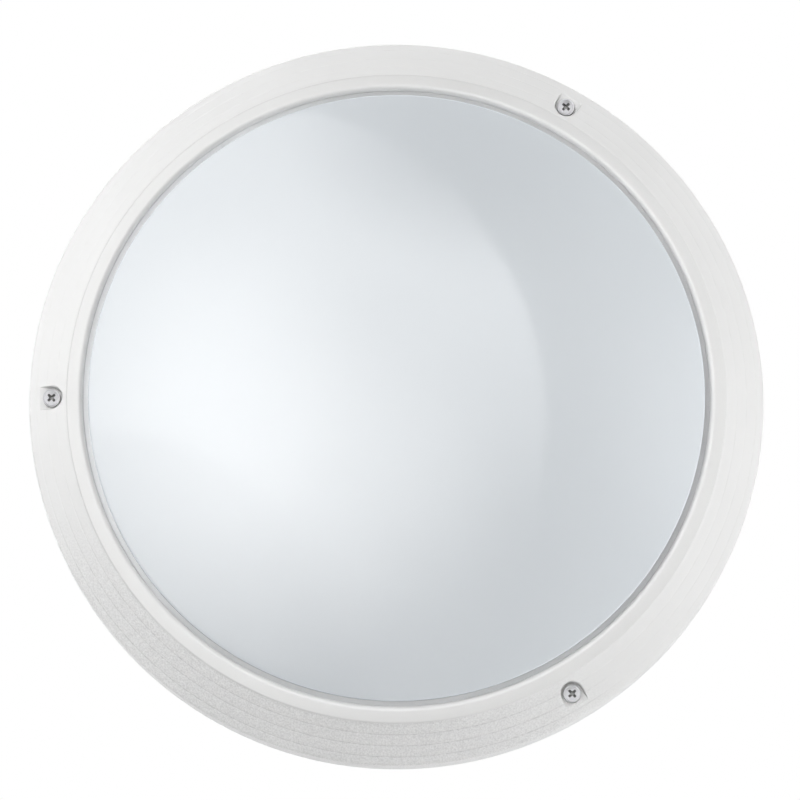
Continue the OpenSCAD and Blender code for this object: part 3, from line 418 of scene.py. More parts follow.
class Nodes:
    """The node tree of one material or of the world, with short ways to add what they share."""

    def __init__(self, owner: Union[bpy.types.Material, bpy.types.World]) -> None:
        """Turns the owner's nodes on and adds the coordinates.

        Args:
            owner: The new material or world.
        """
        owner.use_nodes = True
        self.owner = owner
        self.tree = owner.node_tree
        self.coordinates = self.add("TexCoord").outputs
        self.place = self.coordinates["Object"]

    def link(self, source: Socket, target: Socket) -> None:
        """Links one socket to another."""
        self.tree.links.new(source, target)

    def add(self, kind: str, inputs: Optional[dict[Union[str, int], Fed]] = None,
            **settings: str) -> bpy.types.Node:
        """Adds a node and sets or feeds its inputs.

        Args:
            kind: Type of the shader node.
            inputs: Value, or socket that feeds it, of each input, by name or number.
            **settings: The node's own settings, such as its operation.

        Returns:
            The node.
        """
        node = self.tree.nodes.new(f"ShaderNode{kind}")
        for name, setting in settings.items():
            setattr(node, name, setting)
        for key, value in (inputs or {}).items():
            if isinstance(value, Socket):
                self.link(value, node.inputs[key])
            else:
                node.inputs[key].default_value = value
        return node

    def stretched(self, scale: tuple[float, float, float]) -> Socket:
        """Gives the object's coordinates, scaled along each axis."""
        return self.add("Mapping", {"Vector": self.place, "Scale": scale}).outputs["Vector"]

    def noise(self, grain: float, detail: float = 3.0, place: Optional[Socket] = None) -> Socket:
        """Adds a noise whose features are about as wide as the grain, in millimetres."""
        inputs = {"Vector": place or self.place, "Scale": 1 / (grain * MM), "Detail": detail}
        return self.add("TexNoise", inputs).outputs["Fac"]

    def mapped(self, factor: Socket, source: Point, target: Point, kind: str = "LINEAR") -> Socket:
        """Maps a factor from one span of values to another and holds it at the ends.

        Args:
            factor: What is mapped.
            source: The span of the factor, from its start to its end.
            target: The values at that start and end.
            kind: How the values run in between, LINEAR or SMOOTHSTEP.

        Returns:
            The mapped value.
        """
        names = ("From Min", "From Max", "To Min", "To Max")
        inputs = {"Value": factor, **dict(zip(names, (*source, *target)))}
        return self.add("MapRange", inputs, interpolation_type=kind).outputs["Result"]

    def spread(self, factor: Socket, low: float, high: float) -> Socket:
        """Maps a noise factor from its usual span to values from low to high."""
        return self.mapped(factor, (0.3, 0.7), (low, high))

    def blend(self, factor: Socket, first: Sequence[float], second: Sequence[float]) -> Socket:
        """Mixes two colours by a factor."""
        inputs = {"A": (*first, 1.0), "B": (*second, 1.0), "Factor": factor}
        return self.add("Mix", inputs, data_type="RGBA").outputs[2]

    def darkened(self, color: Socket, factor: Socket) -> Socket:
        """Multiplies a colour by a factor."""
        scaled = self.add("VectorMath", {0: color, "Scale": factor}, operation="SCALE")
        return scaled.outputs["Vector"]

    def towards(self, direction: tuple[float, float, float], span: Point) -> Socket:
        """Gives a mask that rises towards one side of the light.

        Args:
            direction: Direction of that side, of length one.
            span: Distances from the axis at which the mask leaves 0 and reaches 1, in millimetres.

        Returns:
            The mask.
        """
        along = self.add("VectorMath", {0: self.place, 1: direction}, operation="DOT_PRODUCT")
        reach = (span[0] * MM, span[1] * MM)
        return self.mapped(along.outputs["Value"], reach, (0.0, 1.0), "SMOOTHSTEP")

    def painted_grain_shading(self, grained: Socket, amount: float, mask: Socket) -> Socket:
        """Gives a factor round 1 that follows a grain where a mask is full, as painted shade of the
        grain.
        """
        inputs = {"A": 1.0, "B": self.spread(grained, 1 - amount, 1 + amount), "Factor": mask}
        return self.add("Mix", inputs).outputs["Result"]

    def bump(self, height: Socket, depth: float, strength: Fed = 1.0) -> Socket:
        """Turns a height from 0 to 1 into a normal; the depth, in millimetres, is that of 1."""
        inputs = {"Height": height, "Distance": depth * MM, "Strength": strength}
        return self.add("Bump", inputs).outputs["Normal"]


def tinted(color: Sequence[float], factor: float) -> tuple[float, ...]:
    """Gives a colour that is lighter or darker by a factor."""
    return tuple(min(1.0, c * factor) for c in color)


@dataclass(frozen=True)
class Finish:
    """A surface finish that a node material shows.

    The colour varies between two shades over broad clouds, the roughness over finer ones, and
    the grain raises the surface. Away from the light's lower side the grain keeps only a share of
    its depth. At its shaded side, which is the lower one unless another is given, the colour may
    carry painted shade: it may be darker, and the grain may darken it in painted specks of shade.
    Every size is in millimetres.
    """

    name: str
    color: tuple[float, float, float]
    roughness: float = 0.45
    metallic: float = 0.0
    variation: float = 0.03
    cloud: float = 25.0
    roughness_spread: float = 0.05
    grain: float = 0.8
    grain_depth: float = 0.01
    grain_share: float = 1.0
    side_shade: float = 1.0
    side: tuple[float, float, float] = (-0.31, 0.0, -0.951)
    side_span: tuple[float, float] = (85.0, 130.0)
    painted_grain_shade: float = 0.0
    coat: float = 0.0
    coat_roughness: float = 0.1
    sheen: float = 0.0
    pattern: Pattern = Pattern.CLOUDED
    second: tuple[float, float, float] = (0.8, 0.7, 0.1)
    stripe_scale: float = 60.0

    def material(self) -> bpy.types.Material:
        """Builds the finish as a node material, or finds the one that exists.

        Returns:
            The material.
        """
        found = bpy.data.materials.get(self.name)
        if found:
            return found
        nodes = Nodes(bpy.data.materials.new(self.name))
        shader = nodes.tree.nodes["Principled BSDF"].inputs
        shader["Metallic"].default_value = self.metallic
        shader["Coat Weight"].default_value = self.coat
        shader["Coat Roughness"].default_value = self.coat_roughness
        shader["Sheen Weight"].default_value = self.sheen
        grained = self.grained(nodes)
        nodes.link(self.shown(nodes, grained), shader["Base Color"])
        rough = nodes.noise(self.cloud / 6, 4.0)
        low, high = self.roughness - self.roughness_spread, self.roughness + self.roughness_spread
        nodes.link(nodes.spread(rough, low, high), shader["Roughness"])
        share: Fed = 1.0
        if self.grain_share < 1:
            share = nodes.mapped(self.mask(nodes), (0.0, 1.0), (self.grain_share, 1.0))
        nodes.link(nodes.bump(grained, self.grain_depth, share), shader["Normal"])
        return nodes.owner

    def mask(self, nodes: Nodes) -> Socket:
        """Adds the mask that rises towards the side where shade is painted."""
        return nodes.towards(self.side, self.side_span)

    def grained(self, nodes: Nodes) -> Socket:
        """Adds the grain, drawn out along the light's height where the finish is brushed.

        Args:
            nodes: The node tree of the finish.

        Returns:
            The grain's factor.
        """
        if self.pattern is Pattern.BRUSHED:
            return nodes.noise(self.grain, 4.0, nodes.stretched((1.0, 1.0, 0.06)))
        return nodes.noise(self.grain, 2.0)

    def shown(self, nodes: Nodes, grained: Socket) -> Socket:
        """Adds the colour: bands of the second one across the first, or clouds with painted shade on
        one side.

        Args:
            nodes: The node tree of the finish.
            grained: The grain's factor.

        Returns:
            The colour.
        """
        if self.pattern is Pattern.STRIPED:
            wave = nodes.add("TexWave", {"Vector": nodes.place, "Scale": self.stripe_scale},
                             bands_direction="DIAGONAL")
            return nodes.blend(wave.outputs["Fac"], self.color, self.second)
        clouds = nodes.spread(nodes.noise(self.cloud), 0.0, 1.0)
        dark, light = tinted(self.color, 1 - self.variation), tinted(self.color, 1 + self.variation)
        color = nodes.blend(clouds, dark, light)
        # painted shade: the grain's specks and the darker side stand in for shade that falls on that
        # side
        if self.painted_grain_shade > 0:
            color = nodes.darkened(color, nodes.painted_grain_shading(grained, self.painted_grain_shade, self.mask(nodes)))
        if self.side_shade < 1:
            shade = nodes.mapped(self.mask(nodes), (0.0, 1.0), (1.0, self.side_shade))
            color = nodes.darkened(color, shade)
        return color


# partly painted shade: the grain's relief is real all round, but towards the lower side it also
# darkens the colour in specks, standing in for its shading under grazing light
POWDER_COAT = Finish("powder_coat", (0.822, 0.822, 0.818), 0.46, variation=0.012, cloud=40.0,
                     grain=0.75, grain_depth=0.10, grain_share=0.2, painted_grain_shade=0.12, coat=0.15,
                     coat_roughness=0.35)
# painted shade: the grooves darken towards the lower side, and their grain darkens them there in
# specks, standing in for the shade in the creases
GROOVE_COAT = Finish("groove_coat", (0.82, 0.82, 0.816), 0.5, variation=0.03, cloud=6.0,
                     grain=1.5, grain_depth=0.10, grain_share=0.2, painted_grain_shade=0.12, side_shade=0.87)
# painted shade: the step ring's colour is darker towards the upper left, to hold back the light that
# falls there
SMOOTH_COAT = Finish("smooth_coat", (0.805, 0.805, 0.80), 0.44, variation=0.008, cloud=40.0,
                     grain=1.6, grain_depth=0.006, side=(-0.707, 0.0, 0.707),
                     side_span=(-60.0, 110.0), side_shade=0.90, coat=0.1, coat_roughness=0.25)
OPAL = Finish("opal_plastic", (0.73, 0.77, 0.805), 0.075, variation=0.006, cloud=60.0,
              roughness_spread=0.01, grain=6.0, grain_depth=0.002)
BRIGHT_STEEL = Finish("bright_steel", (0.90, 0.90, 0.89), 0.24, metallic=1.0, variation=0.10,
                      cloud=0.9, grain=0.5, grain_depth=0.06)
# painted shade: this darker steel on the screws' flanks and inside their crosses stands in for the
# shade that falls there
SHADED_STEEL = Finish("steel_painted_shade", (0.42, 0.42, 0.415), 0.42, metallic=1.0, variation=0.2, cloud=0.8,
                    grain=0.3, grain_depth=0.02)
SILICONE = Finish("grey_silicone", (0.40, 0.41, 0.43), 0.62, grain=0.5, sheen=0.1)
# painted shade: the gasket's colour darkens towards the right of the ring, where its channel lies in
# shade
PALE_SILICONE = Finish("pale_silicone", (0.93, 0.935, 0.94), 0.55, grain=0.5, grain_depth=0.004,
                       side=(0.966, 0.0, -0.259), side_span=(-125.0, -40.0), side_shade=0.62)
RUBBER = Finish("black_rubber", (0.028, 0.028, 0.03), 0.58, variation=0.12, grain=0.4, sheen=0.15)
TRAY_COAT = Finish("tray_coat", (0.82, 0.82, 0.82), 0.25, grain=2.0, grain_depth=0.006, coat=0.3)
BOARD_MASK = Finish("board_mask", (0.78, 0.79, 0.78), 0.38, grain=0.5, grain_depth=0.004, coat=0.2)
CHIP_RESIN = Finish("chip_resin", (0.80, 0.62, 0.12), 0.18, cloud=1.0, grain=0.3, coat=0.6)
WHITE_PLASTIC = Finish("white_plastic", (0.78, 0.78, 0.77), 0.42, grain=0.3)
IVORY_PLASTIC = Finish("ivory_plastic", (0.72, 0.69, 0.57), 0.44, grain=0.3)
CASE_PLASTIC = Finish("case_plastic", (0.60, 0.61, 0.63), 0.48, grain=0.35, grain_depth=0.02)
ORANGE_PLASTIC = Finish("orange_plastic", (0.80, 0.24, 0.02), 0.40, grain=0.3)
CIRCUIT_BOARD = Finish("circuit_board", (0.03, 0.17, 0.07), 0.36, variation=0.15, cloud=4.0,
                       coat=0.4)
BRASS = Finish("brass", (0.74, 0.55, 0.24), 0.28, metallic=1.0, variation=0.08, cloud=2.0,
               grain=0.15, pattern=Pattern.BRUSHED)
BROWN_WIRE = Finish("brown_wire", (0.13, 0.05, 0.02), 0.36, grain=0.4)
BLUE_WIRE = Finish("blue_wire", (0.02, 0.09, 0.42), 0.36, grain=0.4)
EARTH_WIRE = Finish("earth_wire", (0.05, 0.36, 0.06), 0.36, grain=0.4, pattern=Pattern.STRIPED)
RED_WIRE = Finish("red_wire", (0.52, 0.02, 0.02), 0.36, grain=0.4)
BLACK_WIRE = Finish("black_wire", (0.02, 0.02, 0.02), 0.36, grain=0.4)
PAN_COAT = Finish("pan_coat", (0.78, 0.78, 0.775), 0.50, variation=0.02, cloud=30.0, grain=0.8,
                  grain_depth=0.03)
FLOOR_PAINT = Finish("floor_paint", (0.82, 0.82, 0.82), 0.8, variation=0.01, cloud=400.0, grain=3.0)


def dress(piece: bpy.types.Object, finishes: Sequence[Finish]) -> None:
    """Gives a new piece its finishes and lets it ride on the light's one body.

    Args:
        piece: The piece, in place.
        finishes: Its finishes, in the order of its material numbers.
    """
    numbers = [face.material_index for face in piece.data.polygons]
    piece.data.materials.clear()
    for finish in finishes:
        piece.data.materials.append(finish.material())
    piece.data.polygons.foreach_set("material_index", [min(n, len(finishes) - 1) for n in numbers])
    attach(piece, BODY)


# Visible pieces


@dataclass
class Bezel:
    """The cast bezel: skirt, grooved flange, step ring with its lip, and three screw recesses."""

    sizes: LightSizes = field(default_factory=LightSizes)
    tongue_t: float = 2.4
    tongue_z: float = 45.0
    grooves: tuple[float, ...] = (4.7, 9.3, 13.9)
    groove_w: float = 0.5
    groove_depth: float = 0.08
    inner_fillet: float = 1.0
    boss_wall: float = 2.2
    clip_boss_z: float = 57.8
    bottom_fillet: float = 0.6
    top_fillet: float = 0.55
    chamfer: float = 0.4
    support: float = 0.3
    overrun: float = 4.0
    overlap: float = 1.0
    flare: float = 2.5
    least_depth: float = 0.02
    least_share: float = 0.03
    plain_wall: float = 0.4
    rim_overlap: float = 0.04
    screw_gap: float = 0.35
    retainer_gap: float = 2.55
    retainer_depth: float = 1.5
    clip_hole_r: float = 1.3
    clip_hole_depth: float = 5.0
    segments: int = 512

    def on_flange(self, radius: float, above: float = 0.0) -> Point:
        """Gives the section point at a radius, above the flange's outer surface."""
        return radius, self.sizes.flange_at(radius) + above

    def groove(self, inset: float) -> list[Point]:
        """Gives the corners of one flange groove, from its outer edge inwards.

        Args:
            inset: Distance of the groove from the step ring.

        Returns:
            Seven points: a shallow rounded groove with a point of the flange on either side.
        """
        mid, slope = self.sizes.ring_r + inset, self.sizes.slope
        outer = ((0.9, 0.0), (0.5, 0.0), (0.06, 0.94))
        shares = (*outer, (0.0, 1.0), *((-across, down) for across, down in reversed(outer)))
        points = []
        for across, down in shares:
            radius, height = self.on_flange(mid + self.groove_w * across)
            depth = self.groove_depth * down
            points.append((radius - depth * math.sin(slope), height - depth * math.cos(slope)))
        return points

    def front(self) -> list[Point]:
        """Gives the visible section, with support points that keep the flat parts' shading flat.

        Returns:
            The points from the skirt's rim to the lip's foot.
        """
        s = self.sizes
        step_turn, lip_turn = 18, 78
        edge_turn = 90 - math.degrees(s.slope)
        edge_drop = s.edge_r * math.tan(math.radians(edge_turn) / 2)
        edge_mid = (s.bezel_r - s.edge_r, s.edge_z - edge_drop)
        points: list[Point] = [(s.bezel_r, s.skirt_z + self.chamfer)]
        points += arc(edge_mid, s.edge_r, 0, edge_turn, 14)
        points.append(self.on_flange(points[-1][0] - self.support))
        for inset in sorted(self.grooves, reverse=True):
            points += self.groove(inset)
        foot = self.inner_fillet
        for out, above in ((foot + self.support, 0.0), (foot, 0.0), (foot * 0.45, 0.03)):
            points.append(self.on_flange(s.ring_r + out, above))
        points.append((s.ring_r + foot * 0.12, s.flange_in_z + 0.10))
        points += arc((s.ring_r - s.ring_step, s.flange_in_z), s.ring_step, step_turn, lip_turn, 8)
        points += arc((s.opening_r + s.lip_r, s.lip_z - s.lip_r), s.lip_r, lip_turn, 180, 12)
        return points

    def back(self) -> list[Point]:
        """Gives the hidden section.

        Returns:
            The points from the lip's foot round the tongue to the skirt.
        """
        s = self.sizes
        drop = s.wall / math.cos(s.slope)
        tongue_out_r = s.tongue_in_r + self.tongue_t
        skirt_in_r = s.bezel_r - s.wall
        return [
            (s.opening_r, s.ring_under_z),
            (s.tongue_in_r, s.ring_under_z),
            (s.tongue_in_r, self.tongue_z),
            (tongue_out_r, self.tongue_z),
            (tongue_out_r, s.flange_at(tongue_out_r) - drop),
            (skirt_in_r, s.flange_at(skirt_in_r) - drop),
            (skirt_in_r, s.skirt_z + self.chamfer),
            (skirt_in_r + self.chamfer, s.skirt_z),
            (s.bezel_r - self.chamfer, s.skirt_z),
        ]

    def finish_at(self, radius: float, height: float) -> int:
        """Tells which finish the cast has at a place.

        Args:
            radius: Distance from the axis, in millimetres.
            height: Height off the wall.

        Returns:
            1 on the smooth ring, 2 in a groove, and 0 on the grained rest.
        """
        s, past_ring, past_groove = self.sizes, 0.2, 0.05
        if radius < s.ring_r + past_ring and height > s.flange_in_z:
            return 1
        across = any(abs(radius - s.ring_r - inset) < self.groove_w / 2 for inset in self.grooves)
        below = abs(height - s.flange_at(radius)) < self.groove_depth + past_groove
        return 2 if across and below else 0

    def tag_finishes(self, bezel: bpy.types.Object) -> None:
        """Gives each face of the bezel the number of its finish.

        Args:
            bezel: The bezel, in place.
        """
        for face in bezel.data.polygons:
            x, y, z = face.center / MM
            face.material_index = self.finish_at(math.hypot(x, z), -y)

    def recess_plan(self) -> list[tuple[float, float, float, float]]:
        """Gives a recess's plan, from its open end round its inner end and back.

        Returns:
            For each point its place in the plan and the direction away from the recess.
        """
        radius, side, bend = self.sizes.recess_r, 12, 32
        out_u = self.sizes.bezel_r - self.sizes.screw_circle_r + self.overrun
        plan = [(out_u * (1 - i / side), -radius, 0.0, -1.0) for i in range(side)]
        for i in range(bend + 1):
            turn = math.radians(-90 - 180 * i / bend)
            cos, sin = math.cos(turn), math.sin(turn)
            plan.append((radius * cos, radius * sin, cos, sin))
        return plan + [(out_u * i / side, radius, 0.0, 1.0) for i in range(1, side + 1)]

    def recess_loop(self, turn: float, at_rim: bool) -> list[Vector]:
        """Gives one loop of the rounding at a recess's bottom or rim.

        Args:
            turn: Place on the rounding in degrees, 0 where it meets the recess's wall.
            at_rim: Whether the loop is at the rim.

        Returns:
            The loop in the recess's own axes, in millimetres.
        """
        s = self.sizes
        across, rise = 1 - math.cos(math.radians(turn)), 1 - math.sin(math.radians(turn))
        loop = []
        for u, v, away_u, away_v in self.recess_plan():
            if at_rim:
                fillet = self.top_fillet * self.depth_share(u)
                rim_z = max(self.rim_height(u, v), s.recess_z + self.least_depth)
                height = rim_z - fillet * rise + self.rim_overlap
            else:
                fillet = -self.bottom_fillet * self.depth_share(u)
                height = s.recess_z - fillet * rise
            out = fillet * across
            loop.append(Vector((u + away_u * out, v + away_v * out, height)))
        return loop

    def recess_cutter(self, angle: float) -> bpy.types.Object:
        """Builds the tool that sinks one U-shaped recess with rounded edges.

        Args:
            angle: Place of the screw round the bezel, in degrees.

        Returns:
            A closed object that is open towards the bezel's edge.
        """
        s = self.sizes
        levels = [self.recess_loop(turn, False) for turn in (90, 60, 30, 0)]
        levels += [self.recess_loop(turn, True) for turn in (0, 20, 40, 60, 72)]
        top_z = s.lip_z + self.overrun
        levels.append([Vector((u + away_u * self.flare, v + away_v * self.flare, top_z))
                       for u, v, away_u, away_v in self.recess_plan()])
        return lofted("recess_cutter", [around(level, angle, s.screw_circle_r) for level in levels])

    def rim_height(self, u: float, v: float) -> float:
        """Height of the flange above a place in a recess's plan."""
        return self.sizes.flange_at(math.hypot(self.sizes.screw_circle_r + u, v))

    def depth_share(self, u: float) -> float:
        """Share of the full fillets that fits the recess's depth at a distance outwards."""
        full = self.bottom_fillet + self.top_fillet + self.plain_wall
        return max(self.least_share, min(1.0, (self.rim_height(u, 0.0) - self.sizes.recess_z) / full))

    def post(self, angle: float, out: float, radius: float, low: float,
             high: float) -> bpy.types.Object:
        """Builds a round post along the light's axis.

        Args:
            angle: Place round the bezel, in degrees.
            out: Distance from the axis.
            radius: Radius of the post.
            low: Height of its lower end.
            high: Height of its upper end.

        Returns:
            The post as a closed object.
        """
        return lofted("post", [around(circle_loop(radius, z), angle, out) for z in (low, high)])

    def build(self) -> bpy.types.Object:
        """Builds and dresses the bezel.

        Returns:
            The bezel.
        """
        s = self.sizes
        bezel = lathe("bezel_cast", self.front() + self.back(), self.segments)
        outside = self.front()[1:]
        core = [(0.0, s.skirt_z), (s.bezel_r, s.skirt_z), *outside, (0.0, outside[-1][1])]
        for angle in s.screw_angles:
            boss = self.post(angle, s.screw_circle_r, s.recess_r + self.boss_wall, s.seat_z,
                             s.recess_z + self.boss_wall)
            combine(boss, [lathe("core", core, 256)], "INTERSECT")
            combine(bezel, [boss], "UNION")
        for angle in s.clip_angles:
            post = self.post(angle, s.clip_circle_r, s.clip_boss_r, self.clip_boss_z,
                             s.ring_under_z + self.overlap)
            combine(bezel, [post], "UNION")
        for angle in s.screw_angles:
            low, screw_r = s.seat_z - self.overlap, s.screw_d / 2
            hole = self.post(angle, s.screw_circle_r, screw_r + self.screw_gap, low,
                             s.recess_z + self.overlap)
            pocket = self.post(angle, s.screw_circle_r, screw_r + self.retainer_gap, low,
                               s.seat_z + self.retainer_depth)
            combine(bezel, [self.recess_cutter(angle), hole, pocket], "DIFFERENCE")
        for angle in s.clip_angles:
            hole = self.post(angle, s.clip_circle_r, self.clip_hole_r,
                             self.clip_boss_z - self.overlap,
                             self.clip_boss_z + self.clip_hole_depth)
            combine(bezel, [hole], "DIFFERENCE")
        soften(bezel)
        self.tag_finishes(bezel)
        dress(bezel, (POWDER_COAT, SMOOTH_COAT, GROOVE_COAT))
        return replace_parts(bezel, "bezel")


@dataclass
class Diffuser:
    """The opal dome, with a rounded shoulder at its foot and a clamped flange under the bezel."""

    sizes: LightSizes = field(default_factory=LightSizes)
    thickness: float = 2.8
    foot_z: float = 57.5
    flange_z: float = 60.3
    shoulder_r: float = 1.5
    foot_step: float = 0.8
    foot_drop: float = 0.9
    overlap: float = 1.0
    segments: int = 512

    @property
    def sphere_r(self) -> float:
        """Radius of the dome's outer sphere."""
        return (self.sizes.dome_r ** 2 + self.sizes.dome_rise ** 2) / (2 * self.sizes.dome_rise)

    def on_sphere(self, inset: float, radius: float) -> Point:
        """Gives the section point at a radius, on the sphere an inset below the outer one."""
        mid_z = self.sizes.lip_z + self.sizes.dome_rise - self.sphere_r
        return radius, mid_z + math.sqrt((self.sphere_r - inset) ** 2 - radius ** 2)

    def section(self) -> list[Point]:
        """Gives the dome's section.

        Returns:
            The points from its flange over the outside and back along the inside.
        """
        s = self.sizes
        flange_r = s.opening_r + s.dome_lap
        turn_r = s.dome_r - self.shoulder_r
        turn_mid = self.on_sphere(self.shoulder_r, turn_r)
        mid_z = self.on_sphere(0.0, 0.0)[1] - self.sphere_r
        stop = math.degrees(math.atan2(turn_mid[1] - mid_z, turn_r))
        points: list[Point] = [(flange_r, self.foot_z), (flange_r, self.flange_z)]
        points.append((s.dome_r, self.flange_z))
        points += arc(turn_mid, self.shoulder_r, 0, stop, 12)
        start = points[-1][0]
        steps, crowding = 60, 1.15
        points += [self.on_sphere(0.0, start * (1 - (i / steps) ** crowding))
                   for i in range(1, steps + 1)]
        inner_r = s.dome_r - self.thickness
        stop_r, inner_steps = inner_r - self.foot_step, 24
        points += [self.on_sphere(self.thickness, stop_r * i / inner_steps)
                   for i in range(inner_steps + 1)]
        points.append((inner_r, self.on_sphere(self.thickness, inner_r)[1] - self.foot_drop))
        return points + [(inner_r, self.foot_z)]

    def build(self) -> bpy.types.Object:
        """Builds and dresses the dome.

        Returns:
            The dome.
        """
        dome = lathe("diffuser_dome", self.section(), self.segments)
        low, high = self.foot_z - self.overlap, self.flange_z + self.overlap
        combine(dome, clip_notches(self.sizes, low, high), "DIFFERENCE")
        soften(dome, 40)
        dress(dome, (OPAL,))
        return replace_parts(dome, "diffuser")


@dataclass
class DomeGasket:
    """The L-shaped silicone ring: a flat under the step ring, a rim in the gap round the dome."""

    sizes: LightSizes = field(default_factory=LightSizes)
    flat_t: float = 1.2
    drop: float = 2.2
    play: float = 0.03
    edge_r: float = 0.08
    notch_below: float = 3.0
    notch_above: float = 0.5
    segments: int = 512

    def section(self) -> list[Point]:
        """Gives the ring's section, with rounded upper edges on its rim.

        Returns:
            The points from the inner lower corner outwards and back over the rim.
        """
        s = self.sizes
        in_r, out_r = s.dome_r + self.play, s.opening_r - self.play
        flat_z, rim_z = s.ring_under_z - self.flat_t, s.lip_z - self.drop
        flat_r = s.opening_r + s.dome_lap
        points = [(in_r, flat_z), (flat_r, flat_z)]
        points += [(flat_r, s.ring_under_z), (out_r, s.ring_under_z)]
        points += arc((out_r - self.edge_r, rim_z - self.edge_r), self.edge_r, 0, 90, 5)
        points += arc((in_r + self.edge_r, rim_z - self.edge_r), self.edge_r, 90, 180, 5)
        return points

    def build(self) -> bpy.types.Object:
        """Builds and dresses the ring.

        Returns:
            The ring.
        """
        under_z = self.sizes.ring_under_z
        low, high = under_z - self.notch_below, under_z + self.notch_above
        ring = lathe("dome_gasket", self.section(), self.segments)
        combine(ring, clip_notches(self.sizes, low, high), "DIFFERENCE")
        soften(ring, 40)
        # the gasket's finish carries painted shade towards the ring's right side
        dress(ring, (PALE_SILICONE,))
        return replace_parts(ring, "diffuser_gasket")


@dataclass
class BezelScrews:
    """The three pan-head cross screws with their threads."""

    sizes: LightSizes = field(default_factory=LightSizes)
    crown: float = 0.9
    chamfer: float = 0.25
    edge_r: float = 0.45
    wing_w: float = 1.25
    wing_reach: float = 2.3
    wing_levels: tuple[Point, ...] = ((2.4, 0.30), (1.44, 0.66), (-0.4, 1.08))
    wing_taper: float = 0.28
    end_w: float = 0.6
    end_reach: float = 0.9
    pitch: float = 0.7
    thread_depth: float = 0.3
    thread_start: float = 1.2
    thread_rows: int = 6
    neck_overlap: float = 0.3
    ridge_half: float = 0.32
    tip_l: float = 1.2
    tip_share: float = 0.55

    def crown_at(self, radius: float) -> float:
        """Tells the height of the head's crown.

        Args:
            radius: Distance from the screw's axis, in millimetres.

        Returns:
            The height above the head's seat.
        """
        reach = self.sizes.head_d / 2 - self.edge_r
        big_r = (reach ** 2 + self.crown ** 2) / (2 * self.crown)
        return self.sizes.head_h - big_r + math.sqrt(big_r ** 2 - min(radius, reach) ** 2)

    def head(self) -> list[Point]:
        """Gives the head's section.

        Returns:
            The points from its seat to the middle of the crown.
        """
        head_r, head_h = self.sizes.head_d / 2, self.sizes.head_h
        points: list[Point] = [(0.0, 0.0), (head_r - self.chamfer, 0.0), (head_r, self.chamfer)]
        points += arc((head_r - self.edge_r, head_h - self.crown), self.edge_r, 0, 60, 5)
        steps = 14
        for i in range(1, steps):
            radius = (head_r - self.edge_r) * (1 - i / steps)
            points.append((radius, self.crown_at(radius)))
        return points + [(0.0, head_h)]

    def revolved(self, section: Sequence[Point], count: int = 64) -> bpy.types.Object:
        """Revolves a section round the screw's own axis.

        Args:
            section: Points of the section as (radius, height), in millimetres.
            count: Number of steps round the axis.

        Returns:
            The body, in millimetres, with the screw's axis along z.
        """
        body = lathe("screw_part", section, count)
        for vertex in body.data.vertices:
            x, y, z = vertex.co / MM
            vertex.co = (x, z, -y)
        return body

    def cross(self) -> bpy.types.Object:
        """Builds the tapered cross that is sunk into the head.

        Returns:
            The tool that cuts it, in millimetres.
        """
        parts = []
        for turn in (45, 135):
            cos, sin = math.cos(math.radians(turn)), math.sin(math.radians(turn))
            levels = []
            for depth, share in self.wing_levels:
                taper, reach = self.wing_taper, self.wing_reach * share
                half = self.wing_w / 2 * (1 - taper + taper * share)
                side = [(reach, half * self.end_w), (reach * self.end_reach, half)]
                side += [(-u, v) for u, v in reversed(side)]
                corners = side + [(-u, -v) for u, v in side]
                height = self.sizes.head_h - depth
                levels.append([Vector((u * cos - v * sin, u * sin + v * cos, height))
                               for u, v in corners])
            parts.append(lofted("wing", levels))
        combine(parts[0], [parts[1]], "UNION")
        return parts[0]

    def tag_painted_shade(self, head: bpy.types.Object) -> None:
        """Gives the head's flank and the inside of its cross the second finish, a darker steel that
        is painted shade.

        Args:
            head: The head, in millimetres.
        """
        least_depth, cross_reach = 0.04, self.wing_reach * 1.1
        flank_z = self.sizes.head_h - self.crown + 0.1
        for face in head.data.polygons:
            radius = math.hypot(face.center.x, face.center.y)
            sunk = self.crown_at(radius) - face.center.z > least_depth and radius < cross_reach
            face.material_index = int(sunk or face.center.z < flank_z)

    def shank(self) -> bpy.types.Object:
        """Builds the threaded shank below the head.

        Returns:
            The shank, in millimetres.
        """
        s = self.sizes
        count, rows = 28, int(s.screw_l / self.pitch * self.thread_rows)
        levels = []
        for row in range(rows + 1):
            z = -s.screw_l + (s.screw_l + self.neck_overlap) * row / rows
            tip = min(1.0, self.tip_share + (1 - self.tip_share) * (z + s.screw_l) / self.tip_l)
            level = []
            for k in range(count):
                phase = (z / self.pitch - k / count) % 1.0
                ridge = max(0.0, 1 - abs(phase - 0.5) / self.ridge_half)
                if z >= -self.thread_start:
                    ridge = 0.0
                radius = (s.screw_d / 2 - self.thread_depth * (1 - ridge)) * tip
                turn = 2 * math.pi * k / count
                level.append(Vector((radius * math.cos(turn), radius * math.sin(turn), z)))
            levels.append(level)
        return lofted("shank", levels)

    def build(self) -> bpy.types.Object:
        """Builds and dresses the three screws as one piece.

        Returns:
            The screws.
        """
        s = self.sizes
        head = self.revolved(self.head())
        combine(head, [self.cross()], "DIFFERENCE")
        self.tag_painted_shade(head)
        screw = joined("screw", [head, self.shank()])
        turns = []
        for angle in s.screw_angles:
            local = [Vector(v.co) for v in screw.data.vertices]
            # each screw is first turned back, so that the three crosses stand the same way
            cos, sin = math.cos(math.radians(-angle)), math.sin(math.radians(-angle))
            level = [Vector((p.x * cos - p.y * sin, p.x * sin + p.y * cos, p.z + s.recess_z))
                     for p in local]
            placed = around(level, angle, s.screw_circle_r)
            mesh = screw.data.copy()
            for vertex, place in zip(mesh.vertices, placed):
                vertex.co = place
            turns.append(new_object("screw_turn", mesh))
        bpy.data.objects.remove(screw)
        screws = joined("bezel_screws_dressed", turns)
        face_outwards(screws.data)
        soften(screws, 28)
        # the second steel is painted shade on the heads' flanks and inside the crosses
        dress(screws, (BRIGHT_STEEL, SHADED_STEEL))
        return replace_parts(screws, "bezel_screws")


# Pieces that keep their solids


